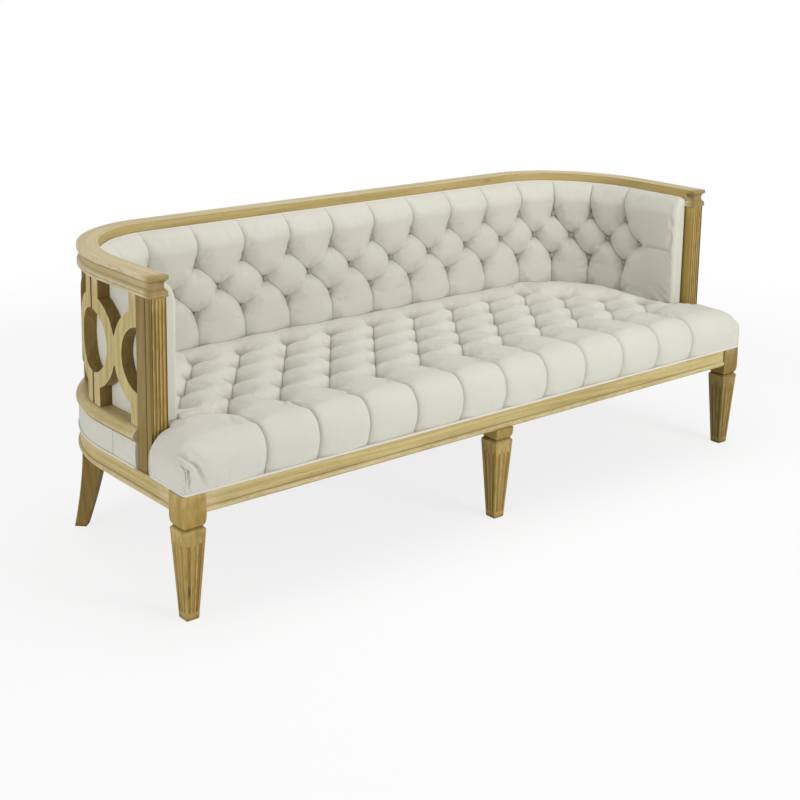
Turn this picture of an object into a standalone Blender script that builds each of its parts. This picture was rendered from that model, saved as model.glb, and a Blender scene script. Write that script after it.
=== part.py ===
"""A three-seat sofa: a pale oak frame with fretwork sides, and tufted off-white upholstery.

Units are metres, +Z is up, the front faces -Y, and the origin lies on the floor under the middle
of the whole sofa. Most of the rails follow one U-shaped plan line. A place along that line is
called a station: 0 in the middle of the back, growing towards the right arm and falling towards
the left one. A piece's inset is how far it lies inside the line.
"""

import math

import bmesh
import bpy
import numpy as np

# Driving dimensions
WIDTH = 2.000
DEPTH = 0.7865
HEIGHT = 0.785
SEAT_HEIGHT = 0.420
APRON_TOP = 0.310
SHELF_TOP = 0.410
FIT = 0.0003
MERGE = 0.00001

# The plan line, which the cap rail's outer edge follows
SIDE_SETBACK = 0.008
SHELF_REACH = 0.0105
SEAT_BULGE = 0.011
CORNER_ACROSS = 0.320
CORNER_DEEP = 0.380
FRONT = -DEPTH / 2 + SEAT_BULGE
BACK = DEPTH / 2 - SHELF_REACH
HALF_SPAN = WIDTH / 2 - SIDE_SETBACK
CENTRE_X = HALF_SPAN - CORNER_ACROSS
CENTRE_Y = BACK - CORNER_DEEP

# Counts
SPLATS = 12
CORNER_CUTS = 12
HOLE_STEPS = 10
RING_STEPS = 5
CORNER_SAMPLES = 400
EDGE_SAMPLES = 40

# Cap rail
CAP_HEIGHT = 0.052
CAP_WIDTH = 0.054
CAP_SLAB = 0.011
CAP_COVE = 0.008
CAP_LEDGE = 0.025
CAP_OVERHANG = 0.004
CAP_REBATE = CAP_WIDTH - CAP_COVE
CAP_UNDERSIDE = HEIGHT - CAP_HEIGHT
cap_mould_shares = [
    (0.60, 0.05),
    (0.95, 0.16),
    (1.00, 0.46),
    (0.60, 0.53),
    (0.55, 0.62),
    (0.72, 0.68),
    (0.50, 0.80),
    (0.10, 0.88),
    (0.10, 0.94),
    (0.45, 1.00),
]

# Posts
POST_WIDTH = 0.046
POST_DEPTH = 0.062
POST_SETBACK = 0.155
POST_SIDE = 0.004
POST_FLUTES = 5
FLUTE_DEPTH = 0.003
flute_shares = [(0.14, 0.0), (0.30, 0.80), (0.50, 1.0), (0.70, 0.80), (0.86, 0.0)]
groove_shares = [(0.28, 0.0), (0.30, 1.0), (0.36, 1.0), (0.38, 0.0)]
POST_OUTER = HALF_SPAN - POST_SIDE
POST_FRONT = FRONT + POST_SETBACK
POST_REAR = POST_FRONT + POST_DEPTH

# Fretwork splats
SPLAT_INSET = 0.008
SPLAT_THICKNESS = 0.0335
SPLAT_GAP = 0.011
SPLAT_BAR = 0.034
RING_LAP = 0.0036
RING_WIDTH = 0.0385
RING_FILLET = 0.004

# Lower rail that the splats stand on
SHELF_HEIGHT = 0.034
SHELF_INNER = CAP_REBATE
SHELF_SLOPE = SPLAT_INSET + SHELF_REACH
shelf_mould_shares = [
    (1.00, 0.00),
    (0.70, 0.06),
    (0.35, 0.26),
    (0.08, 0.50),
    (0.00, 0.63),
    (0.06, 0.75),
    (0.24, 0.82),
    (0.50, 0.91),
    (0.62, 1.00),
]
SHELF_UNDERSIDE = SHELF_TOP - SHELF_HEIGHT

# Covered band between the lower rail and the apron
BAND_REACH = 0.004
BAND_PUFF = 0.002
band_puff_shares = [(0.0, 0.0), (0.12, 0.75), (0.5, 1.0), (0.88, 0.75), (1.0, 0.0)]

# Apron
APRON_HEIGHT = 0.052
APRON_THICKNESS = 0.030
APRON_SETBACK = 0.005
APRON_BEAD = 0.014
APRON_INSET = APRON_SETBACK - SIDE_SETBACK
APRON_INNER = APRON_INSET + APRON_THICKNESS
APRON_UNDERSIDE = APRON_TOP - APRON_HEIGHT
apron_bead_shares = [
    (0.00, 1.00),
    (0.70, 0.90),
    (1.00, 0.57),
    (0.70, 0.25),
    (0.10, 0.14),
    (0.00, 0.00),
]

# Legs
BLOCK_WIDTH = 0.058
OVOLO_SETBACK = 0.001
OVOLO_HEIGHT = 0.027
OVOLO_TOP = APRON_UNDERSIDE - OVOLO_SETBACK
NECK_HEIGHT = OVOLO_TOP - OVOLO_HEIGHT
NECK_IN = 0.006
NECK_CHAMFER = 0.008
SHOULDER_HEIGHT = NECK_HEIGHT - NECK_CHAMFER
SHOULDER_IN = 0.002
FOOT_WIDTH = 0.032
FOOT_CHAMFER = 0.002
GLIDE_RADIUS = 0.011
GLIDE_HEIGHT = 0.003
GLIDE_SIDES = 16
ovolo_shares = [(0.0, 0.0), (0.35, 0.10), (0.65, 0.35), (0.88, 0.70), (1.0, 1.0)]
REAR_TOP_WIDTH = 0.046
REAR_FOOT_WIDTH = 0.032
REAR_TOP_SIDE = 0.135
REAR_TOP_BACK = 0.143
REAR_MIDDLE_BACK = 0.030
REAR_SPLAY = 0.060
REAR_MIDDLE_SPLAY = 0.024
REAR_CURVE = 1.7
REAR_STEPS = 6

# Outside panels and the boards behind the inside pads
PANEL_INSET = SPLAT_INSET + SPLAT_THICKNESS + FIT
PANEL_THICKNESS = SHELF_INNER - PANEL_INSET
BOARD_THICKNESS = 0.0077
BOARD_INSET = SHELF_INNER + FIT
PAD_INSET = BOARD_INSET + BOARD_THICKNESS + FIT

# Deck and what holds it up
DECK_THICKNESS = 0.012
BEARER_WIDTH = 0.030
BEARER_SPREAD = 0.450
BRACE_REACH = 0.090
REAR_BLOCK_DEPTH = 0.080
REAR_BLOCK_FIRST_CUT = 4
REAR_BLOCK_LAST_CUT = 8
DUST_THICKNESS = 0.0015
DUST_SIDE = 0.170
DUST_FRONT = 0.070
DUST_BACK = 0.100

# Tufting, shared by the seat and the inside pads
TUFT_PITCH = 0.1545
CORNER_PITCH = 0.120
STRAIGHT_TUFTS = 4.5
SEAT_ROW = 0.0995
SEAT_FIRST_ROW = 0.168
SEAT_ROWS = 5
PAD_ROW = 0.0705
PAD_FIRST_RISE = 0.095
PAD_LOW_ROW = SEAT_HEIGHT + PAD_FIRST_RISE
PAD_ROWS = 3
PIT_SPREAD = 0.022
PLEAT_SHARE = 0.62

# Seat pad
SEAT_SIDE = 0.095
SEAT_REAR = 0.115
SEAT_CROWN = 0.014
SEAT_PUFF = 0.020
SEAT_EDGE_DROP = 0.042
SEAT_ROLL_FRONT = 0.060
SEAT_ROLL_END = 0.085
SEAT_CORNER = 0.030
SEAT_CORNER_SHARE = 0.3
SEAT_CLEARANCE = 0.001
seat_side_shares = [0.60, 0.45, 0.0]
front_row_shares = [0.0, 0.05, 0.16, 0.36, 0.64, 1.0]
end_column_shares = [0.35, 0.65, 0.86, 1.0]

# Inside pads
PAD_SETBACK = 0.029
PAD_CORNER = 0.021
PAD_EDGE = 0.012
PAD_TUCK = 0.056
PAD_ROLL = 0.085
PAD_ROLL_START = HEIGHT - PAD_ROLL
PAD_PUFF_BACK = 0.028
PAD_PUFF_ARM = 0.016
PAD_FADE = 0.035
pad_roll_shares = [0.35, 0.65, 0.85, 0.96]
pad_end_shares = [0.0, 0.10, 0.35, 1.0]

# Colours, roughness
OAK = (0.62, 0.46, 0.29, 0.45)
PLY = (0.66, 0.54, 0.38, 0.60)
LINEN = (0.80, 0.78, 0.74, 0.90)
LINING = (0.25, 0.25, 0.25, 0.90)
NYLON = (0.30, 0.29, 0.27, 0.50)


def start():
    """Empties the file and returns the sofa's collection."""
    for obj in list(bpy.data.objects):
        bpy.data.objects.remove(obj)
    collection = bpy.data.collections.new("sofa")
    bpy.context.scene.collection.children.link(collection)
    return collection


SOFA = start()


def add(name, bm, finish, smooth_angle=None):
    """Turns a bmesh into a named object with a material of its own."""
    bmesh.ops.recalc_face_normals(bm, faces=bm.faces[:])
    mesh = bpy.data.meshes.new(name)
    bm.to_mesh(mesh)
    bm.free()
    if smooth_angle is not None:
        mesh.shade_smooth()
        mesh.set_sharp_from_angle(angle=math.radians(smooth_angle))
    material = bpy.data.materials.new(name)
    material.use_nodes = True
    shader = material.node_tree.nodes["Principled BSDF"]
    shader.inputs["Base Color"].default_value = (*finish[:3], 1.0)
    shader.inputs["Roughness"].default_value = finish[3]
    material.diffuse_color = (*finish[:3], 1.0)
    mesh.materials.append(material)
    obj = bpy.data.objects.new(name, mesh)
    SOFA.objects.link(obj)
    return obj


def filled_outline(points, thickness):
    """A flat outline filled on both sides, with its middle plane at z = 0, as a closed bmesh."""
    curve = bpy.data.curves.new("outline", "CURVE")
    curve.dimensions = "2D"
    curve.fill_mode = "BOTH"
    curve.extrude = thickness / 2
    spline = curve.splines.new("POLY")
    spline.points.add(len(points) - 1)
    for place, (x, y) in zip(spline.points, points):
        place.co = (x, y, 0, 1)
    spline.use_cyclic_u = True
    guide = bpy.data.objects.new("outline", curve)
    SOFA.objects.link(guide)
    depsgraph = bpy.context.evaluated_depsgraph_get()
    mesh = bpy.data.meshes.new_from_object(guide.evaluated_get(depsgraph))
    bm = bmesh.new()
    bm.from_mesh(mesh)
    bmesh.ops.remove_doubles(bm, verts=bm.verts[:], dist=MERGE)
    bpy.data.objects.remove(guide)
    bpy.data.meshes.remove(mesh)
    return bm


def move(bm, place):
    """Moves each vertex to the point that the function place gives for it."""
    for vert in bm.verts:
        vert.co = place(*vert.co)


def skin(rings):
    """A closed body over rings of points, each ring with the same count, filled at both ends."""
    count = len(rings[0])
    bm = bmesh.new()
    bmesh.ops.create_grid(bm, x_segments=count, y_segments=len(rings) - 1, size=1.0)
    for vert in bm.verts:
        column = round((vert.co.x + 1) / 2 * count)
        row = round((vert.co.y + 1) / 2 * (len(rings) - 1))
        vert.co = rings[row][column % count]
    bmesh.ops.remove_doubles(bm, verts=bm.verts[:], dist=MERGE)
    bmesh.ops.holes_fill(bm, edges=[edge for edge in bm.edges if edge.is_boundary], sides=0)
    return bm


def arc(centre, radius, start_angle, end_angle, steps):
    """Points along an arc of a circle, both ends included."""
    angles = [start_angle + (end_angle - start_angle) * i / steps for i in range(steps + 1)]
    return [
        (centre[0] + radius * math.cos(a), centre[1] + radius * math.sin(a)) for a in angles
    ]


# Plan line

CORNER_ANGLES = np.linspace(0.0, math.pi / 2, CORNER_SAMPLES)


def corner_lengths(gauge):
    """Distances along the corner curve that lies inside the plan line by gauge."""
    x = (CORNER_ACROSS - gauge) * np.sin(CORNER_ANGLES)
    y = (CORNER_DEEP - gauge) * np.cos(CORNER_ANGLES)
    return np.concatenate([[0.0], np.cumsum(np.hypot(np.diff(x), np.diff(y)))])


CUT_ANGLES = np.interp(
    np.linspace(0.0, float(corner_lengths(SPLAT_INSET)[-1]), CORNER_CUTS + 1),
    corner_lengths(SPLAT_INSET),
    CORNER_ANGLES,
)


def corner_angle(station, gauge):
    """The angle round the corner at a station measured along the line inset by gauge."""
    return float(np.interp(abs(station) - CENTRE_X, corner_lengths(gauge), CORNER_ANGLES))


def corner_point(angle, inset):
    """The point round the right corner at an angle, 0 at the back and a quarter turn at the arm."""
    x = CENTRE_X + (CORNER_ACROSS - inset) * math.sin(angle)
    y = CENTRE_Y + (CORNER_DEEP - inset) * math.cos(angle)
    return np.array([x, y])


def facet_point(angle, inset):
    """The point at an angle on the flat facets that every rail shares round a corner."""
    along = float(np.interp(angle, CORNER_ANGLES, corner_lengths(SPLAT_INSET)))
    place = along / float(corner_lengths(SPLAT_INSET)[-1]) * CORNER_CUTS
    first = min(int(place), CORNER_CUTS - 1)
    share = place - first
    cuts = CUT_ANGLES[first : first + 2]
    return (1 - share) * corner_point(cuts[0], inset) + share * corner_point(cuts[1], inset)


def plan_point(station, inset, gauge=SPLAT_INSET):
    """The point at a station, measured along the line inset by gauge, and at its own inset."""
    side = math.copysign(1.0, station)
    along = abs(station)
    past_corner = along - CENTRE_X - float(corner_lengths(gauge)[-1])
    if along <= CENTRE_X:
        return station, BACK - inset
    if past_corner >= 0:
        return side * (HALF_SPAN - inset), CENTRE_Y - past_corner
    x, y = facet_point(corner_angle(station, gauge), inset)
    return side * x, y


def station_at(y, gauge=SPLAT_INSET):
    """The station on the right arm at a depth y."""
    return CENTRE_X + float(corner_lengths(gauge)[-1]) + CENTRE_Y - y


def corner_stations(low, high, gauge=SPLAT_INSET):
    """The stations between low and high at which a rail is cut so that it can bend."""
    corner = float(corner_lengths(gauge)[-1])
    right = [CENTRE_X + corner * i / CORNER_CUTS for i in range(CORNER_CUTS + 1)]
    both = sorted([-s for s in right] + right)
    return [s for s in both if low < s < high]


def bend(bm):
    """Bends a straight body, with x its station and y how far it lies outside, onto the plan."""
    move(bm, lambda x, y, z: (*plan_point(x, -y), z))


def cut_across(bm, stations):
    """Adds edges across a straight body at each station."""
    for station in stations:
        geometry = bm.verts[:] + bm.edges[:] + bm.faces[:]
        bmesh.ops.bisect_plane(
            bm, geom=geometry, dist=MERGE, plane_co=(station, 0, 0), plane_no=(1, 0, 0)
        )


def bent_rail(name, profile, low, high, finish):
    """A rail of one profile, given as inset and height, from one station to another."""
    bm = filled_outline([(-inset, z) for inset, z in profile], high - low)
    middle = (low + high) / 2
    move(bm, lambda x, y, z: (middle + z, x, y))
    cut_across(bm, corner_stations(low, high))
    bend(bm)
    return add(name, bm, finish, smooth_angle=35)


def three_rails(stem, profile, end, finish):
    """The left, back and right lengths of a rail, which meet where the corners begin."""
    joint = CENTRE_X + FIT / 2
    bent_rail(f"{stem}_left", profile, -end, -joint, finish)
    bent_rail(f"{stem}_back", profile, -joint + FIT, joint - FIT, finish)
    bent_rail(f"{stem}_right", profile, joint, end, finish)


def plate(name, outline, bottom, top, finish):
    """A level board of any outline between two heights."""
    bm = filled_outline(outline, top - bottom)
    middle = (bottom + top) / 2
    move(bm, lambda x, y, z: (x, y, middle + z))
    return add(name, bm, finish)


def box_outline(left, right, front, back):
    """The four corners of a rectangle in plan."""
    return [(left, front), (right, front), (right, back), (left, back)]


def mirrored(outline):
    """The outline reflected across the middle of the sofa."""
    return [(-x, y) for x, y in reversed(outline)]


# Cap rail


def cap_levels():
    """Slab edge, cove, bead and flare from the top down, as depth of recess and height."""
    mould = CAP_HEIGHT - CAP_SLAB
    below = [(CAP_COVE * deep, HEIGHT - CAP_SLAB - mould * down) for deep, down in cap_mould_shares]
    return [(0.0, HEIGHT), (0.0, HEIGHT - CAP_SLAB)] + below


def cap_inside():
    """The plain inner side with the rebate that the pads tuck into, as inset and height."""
    ledge = HEIGHT - CAP_LEDGE
    below = len(cap_mould_shares) - 1
    drop = (ledge - CAP_UNDERSIDE) / below
    rebate = [(CAP_REBATE, ledge - drop * step) for step in range(1, below + 1)]
    return [(CAP_WIDTH, HEIGHT), (CAP_WIDTH, ledge), (CAP_REBATE, ledge)] + rebate


def cap_ring(station, inside, end=0.0):
    """The cap rail's section at a station; end is 1 where the moulding returns across it."""
    levels = cap_levels()
    recesses = [recess for recess, _ in levels + list(reversed(levels))]
    ring = []
    for recess, (inset, z) in zip(recesses, levels + list(reversed(inside))):
        x, y = plan_point(station, inset)
        ring.append((x, y + recess * end, z))
    return ring


def cap_arm(name, side):
    """One arm of the cap rail with its corner; the moulding returns round the arm's end."""
    moulded = [(CAP_WIDTH - depth, z) for depth, z in cap_levels()]
    end = station_at(POST_FRONT - CAP_OVERHANG)
    plain_end = station_at(POST_FRONT + PAD_SETBACK - FIT)
    stations = [CENTRE_X + FIT / 2] + corner_stations(CENTRE_X + FIT, end) + [plain_end]
    rings = [cap_ring(side * station, cap_inside()) for station in stations]
    rings.append(cap_ring(side * (plain_end + FIT), moulded))
    rings.append(cap_ring(side * end, moulded, end=1.0))
    add(name, skin(rings), OAK, smooth_angle=35)


def make_cap():
    """The cap rail, which runs a little past the posts in front."""
    joint = CENTRE_X - FIT / 2
    profile = cap_levels() + list(reversed(cap_inside()))
    bent_rail("cap_rail_back", profile, -joint, joint, OAK)
    cap_arm("cap_rail_left", -1.0)
    cap_arm("cap_rail_right", 1.0)


# Arm posts


def post_outline():
    """The right post in plan: flutes across the front face, one groove down the outer side."""
    inner = POST_OUTER - POST_WIDTH
    pitch = POST_WIDTH / POST_FLUTES
    front = [
        (inner + pitch * (i + across), POST_FRONT + FLUTE_DEPTH * deep)
        for i in range(POST_FLUTES)
        for across, deep in flute_shares
    ]
    side = [
        (POST_OUTER - FLUTE_DEPTH * deep, POST_FRONT + POST_DEPTH * back)
        for back, deep in groove_shares
    ]
    corners = [(POST_OUTER, POST_REAR), (inner, POST_REAR), (inner, POST_FRONT)]
    return front + [(POST_OUTER, POST_FRONT)] + side + corners


def make_posts():
    """Both arm posts, from the apron up to the cap rail."""
    outline = post_outline()
    bottom = APRON_TOP + FIT
    top = CAP_UNDERSIDE - FIT
    plate("arm_post_right", outline, bottom, top, OAK)
    plate("arm_post_left", mirrored(outline), bottom, top, OAK)


# Fretwork splats


def splat_quarter(pitch):
    """From the gap edge of a bar's end to the middle of the valley, in the lower left quarter.

    The middle of the splat is the origin. Half a ring opens to the left about the point
    half a pitch to the left, and a bar runs down from it to the rail.
    """
    axis = -pitch / 2
    outer = pitch / 2 + RING_LAP
    hole = outer - RING_WIDTH
    near = SPLAT_GAP / 2
    far = near + SPLAT_BAR
    foot = -(CAP_UNDERSIDE - SHELF_TOP) / 2 + FIT
    hole_angle = math.acos(near / hole)
    bar_angle = math.acos(far / outer)
    fillet_drop = math.sqrt((outer + RING_FILLET) ** 2 - axis**2)
    valley_angle = math.atan2(fillet_drop, -axis)
    points = arc((axis, 0.0), hole, 0.0, -hole_angle, HOLE_STEPS // 2)
    points += [(axis + near, foot), (axis + far, foot)]
    points += arc((axis, 0.0), outer, -bar_angle, -valley_angle, RING_STEPS)
    points += [(0.0, -fillet_drop + RING_FILLET)]
    return points


def splat_outline(pitch):
    """The whole splat: four mirrored quarters, anticlockwise from the left ring's middle."""
    low_left = splat_quarter(pitch)
    low_right = [(-x, z) for x, z in reversed(low_left[:-1])]
    top_right = [(-x, -z) for x, z in low_left[1:]]
    top_left = [(x, -z) for x, z in reversed(low_left[1:-1])]
    return low_left + low_right + top_right + top_left


def make_splats():
    """Twelve equal splats between the posts' rear faces, those at the corners bent."""
    end = station_at(POST_REAR)
    pitch = 2 * end / SPLATS
    outline = splat_outline(pitch)
    height = (CAP_UNDERSIDE + SHELF_TOP) / 2
    depth = SPLAT_INSET + SPLAT_THICKNESS / 2
    for number in range(SPLATS):
        bm = filled_outline(outline, SPLAT_THICKNESS)
        middle = -end + pitch * (number + 0.5)
        move(bm, lambda x, y, z, m=middle: (m + x, -depth - z, height + y))
        cut_across(bm, corner_stations(middle - pitch / 2, middle + pitch / 2))
        bend(bm)
        add(f"splat_{number + 1:02d}", bm, OAK, smooth_angle=35)


# Lower rail, covered band and apron


def make_shelf():
    """The lower rail under the splats, with a bead and a cove outside."""
    outside = [
        (SHELF_SLOPE * out - SHELF_REACH, SHELF_TOP - SHELF_HEIGHT * down)
        for out, down in shelf_mould_shares
    ]
    profile = outside + [(SHELF_INNER, SHELF_UNDERSIDE), (SHELF_INNER, SHELF_TOP)]
    three_rails("lower_rail", profile, station_at(POST_REAR + FIT), OAK)


def make_band():
    """The covered band, a little full in its middle."""
    bottom = APRON_TOP + FIT
    height = SHELF_UNDERSIDE - FIT - bottom
    outside = [
        (-BAND_REACH - BAND_PUFF * (full - 1.0), bottom + height * (1.0 - down))
        for down, full in band_puff_shares
    ]
    profile = outside + [(SHELF_INNER, bottom), (SHELF_INNER, bottom + height)]
    three_rails("band", profile, station_at(POST_REAR + FIT), LINEN)


def apron_outside():
    """The apron's face and bead, as how far out and how high."""
    return [
        (APRON_SETBACK * out, APRON_UNDERSIDE + APRON_BEAD * up)
        for out, up in apron_bead_shares
    ]


def make_apron():
    """The apron: three bent lengths between the front blocks, and the front length."""
    outside = [(APRON_INSET, APRON_TOP)]
    outside += [(APRON_INSET - out, z) for out, z in apron_outside()]
    profile = outside + [(APRON_INNER, APRON_UNDERSIDE), (APRON_INNER, APRON_TOP)]
    three_rails("apron", profile, station_at(FRONT + BLOCK_WIDTH + FIT), OAK)
    face = FRONT + APRON_SETBACK
    section = [(face, APRON_TOP)] + [(face - out, z) for out, z in apron_outside()]
    section += [(face + APRON_THICKNESS, APRON_UNDERSIDE), (face + APRON_THICKNESS, APRON_TOP)]
    bm = filled_outline(section, WIDTH - 2 * (BLOCK_WIDTH + FIT))
    move(bm, lambda x, y, z: (z, x, y))
    add("apron_front", bm, OAK, smooth_angle=35)


# Legs


def square_ring(x, y, z, half, turn=0.0):
    """Four corners of a level square about a point, turned in plan."""
    reach = half * math.sqrt(2)
    angles = [turn + math.pi / 4 + math.pi / 2 * i for i in range(4)]
    return [(x + reach * math.cos(a), y + reach * math.sin(a), z) for a in angles]


def front_leg(name, x, top):
    """A square block with a rounded lower edge, a notched neck and a tapered shaft."""
    half = BLOCK_WIDTH / 2
    y = FRONT + half
    levels = [(top, half)]
    levels += [
        (OVOLO_TOP - (OVOLO_TOP - NECK_HEIGHT) * down, half - NECK_IN * inward)
        for down, inward in ovolo_shares
    ]
    foot = FOOT_WIDTH / 2
    sole = GLIDE_HEIGHT + FIT
    levels += [
        (SHOULDER_HEIGHT, half - SHOULDER_IN),
        (sole + FOOT_CHAMFER, foot),
        (sole, foot - FOOT_CHAMFER),
    ]
    rings = [square_ring(x, y, z, size) for z, size in levels]
    add(name, skin(rings), OAK)
    glide(name.replace("leg", "glide"), x, y)


def glide(name, x, y):
    """A small round glide under a foot."""
    bm = bmesh.new()
    bmesh.ops.create_cone(
        bm,
        cap_ends=True,
        segments=GLIDE_SIDES,
        radius1=GLIDE_RADIUS,
        radius2=GLIDE_RADIUS,
        depth=GLIDE_HEIGHT,
    )
    bmesh.ops.translate(bm, verts=bm.verts[:], vec=(x, y, GLIDE_HEIGHT / 2))
    add(name, bm, NYLON)


def rear_leg(name, x, y, across, back, turn):
    """A sabre leg that curves outwards by across and back on its way down."""
    sole = GLIDE_HEIGHT + FIT
    top = APRON_UNDERSIDE - FIT
    rings = []
    for i in range(REAR_STEPS + 1):
        down = i / REAR_STEPS
        half = (REAR_TOP_WIDTH + (REAR_FOOT_WIDTH - REAR_TOP_WIDTH) * down) / 2
        sweep = down**REAR_CURVE
        z = top + (sole - top) * down
        rings.append(square_ring(x + across * sweep, y + back * sweep, z, half, turn))
    add(name, skin(rings), OAK, smooth_angle=35)
    glide(name.replace("leg", "glide"), x + across, y + back)


def make_legs():
    """Three front legs and three rear legs, each with its glide."""
    corner = WIDTH / 2 - BLOCK_WIDTH / 2
    front_leg("front_leg_left", -corner, APRON_TOP)
    front_leg("front_leg_middle", 0.0, APRON_UNDERSIDE - FIT)
    front_leg("front_leg_right", corner, APRON_TOP)
    x = WIDTH / 2 - REAR_TOP_SIDE
    y = BACK - REAR_TOP_BACK
    splay = REAR_SPLAY / math.sqrt(2)
    rear_leg("rear_leg_left", -x, y, -splay, splay, math.pi / 4)
    rear_leg("rear_leg_middle", 0.0, BACK - REAR_MIDDLE_BACK, 0.0, REAR_MIDDLE_SPLAY, 0.0)
    rear_leg("rear_leg_right", x, y, splay, splay, math.pi / 4)


# Deck and frame inside


def make_inside_frame():
    """Deck, bearers, front braces, rear blocks, backing boards and dust cover."""
    inset = APRON_INNER + FIT
    deck_bottom = APRON_TOP - DECK_THICKNESS
    front = FRONT + APRON_SETBACK + APRON_THICKNESS + FIT
    side = HALF_SPAN - inset
    block_side = WIDTH / 2 - BLOCK_WIDTH - FIT
    block_back = FRONT + BLOCK_WIDTH + FIT
    right = [(block_side, front), (block_side, block_back), (side, block_back)]
    right += [plan_point(s, inset) for s in reversed(corner_stations(0.0, WIDTH))]
    deck = right + mirrored(right)
    plate("seat_deck", deck, deck_bottom, APRON_TOP, PLY)
    under = deck_bottom - FIT
    half = BEARER_WIDTH / 2
    for name, x in (("left", -BEARER_SPREAD), ("middle", 0.0), ("right", BEARER_SPREAD)):
        outline = box_outline(x - half, x + half, front, BACK - inset)
        plate(f"bearer_{name}", outline, APRON_UNDERSIDE, under, PLY)
    brace = [
        (block_side, front),
        (block_side, block_back),
        (side, block_back),
        (side, front + BRACE_REACH),
        (side - BRACE_REACH, front),
    ]
    plate("front_brace_right", brace, APRON_UNDERSIDE, under, PLY)
    plate("front_brace_left", mirrored(brace), APRON_UNDERSIDE, under, PLY)
    stations = corner_stations(0.0, WIDTH)[REAR_BLOCK_FIRST_CUT : REAR_BLOCK_LAST_CUT + 1]
    block = [plan_point(s, inset) for s in stations]
    block += [plan_point(s, inset + REAR_BLOCK_DEPTH) for s in (stations[-1], stations[0])]
    plate("rear_block_right", block, APRON_UNDERSIDE, under, PLY)
    plate("rear_block_left", mirrored(block), APRON_UNDERSIDE, under, PLY)
    cover = box_outline(
        -WIDTH / 2 + DUST_SIDE, WIDTH / 2 - DUST_SIDE, FRONT + DUST_FRONT, BACK - DUST_BACK
    )
    dust_top = APRON_UNDERSIDE - FIT
    plate("dust_cover", cover, dust_top - DUST_THICKNESS, dust_top, LINING)
    board = [
        (BOARD_INSET, APRON_TOP + FIT),
        (BOARD_INSET + BOARD_THICKNESS, APRON_TOP + FIT),
        (BOARD_INSET + BOARD_THICKNESS, CAP_UNDERSIDE),
        (BOARD_INSET, CAP_UNDERSIDE),
    ]
    three_rails("backing_board", board, station_at(POST_REAR + FIT), PLY)


def make_panels():
    """The padded panels seen through the fretwork."""
    inner = SHELF_INNER
    bottom = SHELF_TOP + FIT
    top = CAP_UNDERSIDE - FIT
    profile = [(PANEL_INSET, bottom), (inner, bottom), (inner, top), (PANEL_INSET, top)]
    three_rails("outside_panel", profile, station_at(POST_REAR + FIT), LINEN)


# Tufting


def fullness(column, row):
    """How full a diamond-tufted face is, from 0 in a button's pit to 1 amid four buttons.

    Buttons lie where column and row are whole numbers of one parity class: at (0, 0),
    (0.5, 1), (1, 0) and so on. Pleats join neighbouring buttons.
    """
    rising = abs(math.sin(math.pi * (column + row / 2)))
    falling = abs(math.sin(math.pi * (column - row / 2)))
    return math.sqrt(rising * falling)


def pit(column, row, pitch, row_pitch):
    """How deep a button pulls at this place, from 0 far from it to 1 at the button."""
    nearest_row = round(row)
    shift = 0.5 if nearest_row % 2 else 0.0
    nearest_column = round(column - shift) + shift
    across = (column - nearest_column) * pitch
    along = (row - nearest_row) * row_pitch
    return math.exp(-(across**2 + along**2) / PIT_SPREAD**2)


def relief(column, row, pitch, row_pitch):
    """How far the face lies below its fullest, as a share of the puff."""
    pleats = 1.0 - fullness(column, row)
    pits = pit(column, row, pitch, row_pitch)
    return PLEAT_SHARE * pleats + (1.0 - PLEAT_SHARE) * pits


# Seat pad


def pad_depth(angle):
    """The inset of the seat pad's edge round the corner, from the back to the arms."""
    return SEAT_REAR * math.cos(angle) ** 2 + SEAT_SIDE * math.sin(angle) ** 2


def seat_half_width(y):
    """Half the seat pad's width between the inside pads at a depth y."""
    xs = []
    ys = []
    for angle in CORNER_ANGLES[:: CORNER_SAMPLES // EDGE_SAMPLES]:
        inset = pad_depth(angle) + SEAT_CLEARANCE
        xs.append(CENTRE_X + (CORNER_ACROSS - inset) * math.sin(angle))
        ys.append(CENTRE_Y + (CORNER_DEEP - inset) * math.cos(angle))
    if y <= CENTRE_Y:
        return HALF_SPAN - SEAT_SIDE - SEAT_CLEARANCE
    return float(np.interp(-y, [-value for value in ys], xs))


def seat_rows():
    """Depths of the seat pad's rows of vertices, front to back."""
    front = FRONT - SEAT_BULGE
    neck = POST_FRONT - FIT
    back = BACK - SEAT_REAR - SEAT_CLEARANCE
    half_row = SEAT_ROW / 2
    first = FRONT + SEAT_FIRST_ROW
    rows = [front + (neck - front) * share for share in front_row_shares]
    rows += [first + half_row * i for i in range(2 * SEAT_ROWS - 1)]
    rows += [(rows[-1] + back) / 2, back, neck + PAD_SETBACK]
    return sorted(rows)


def seat_columns():
    """Distances of the seat pad's columns of vertices from its middle, and the neck's index."""
    step = TUFT_PITCH / 4
    neck = HALF_SPAN - SEAT_SIDE - SEAT_CLEARANCE
    inner = [step * i for i in range(int(neck / step))]
    beside_post = POST_OUTER - POST_WIDTH - FIT
    end = WIDTH / 2 + SEAT_BULGE
    columns = inner + [neck, beside_post]
    columns += [beside_post + (end - beside_post) * share for share in end_column_shares]
    return columns, len(inner)


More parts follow.
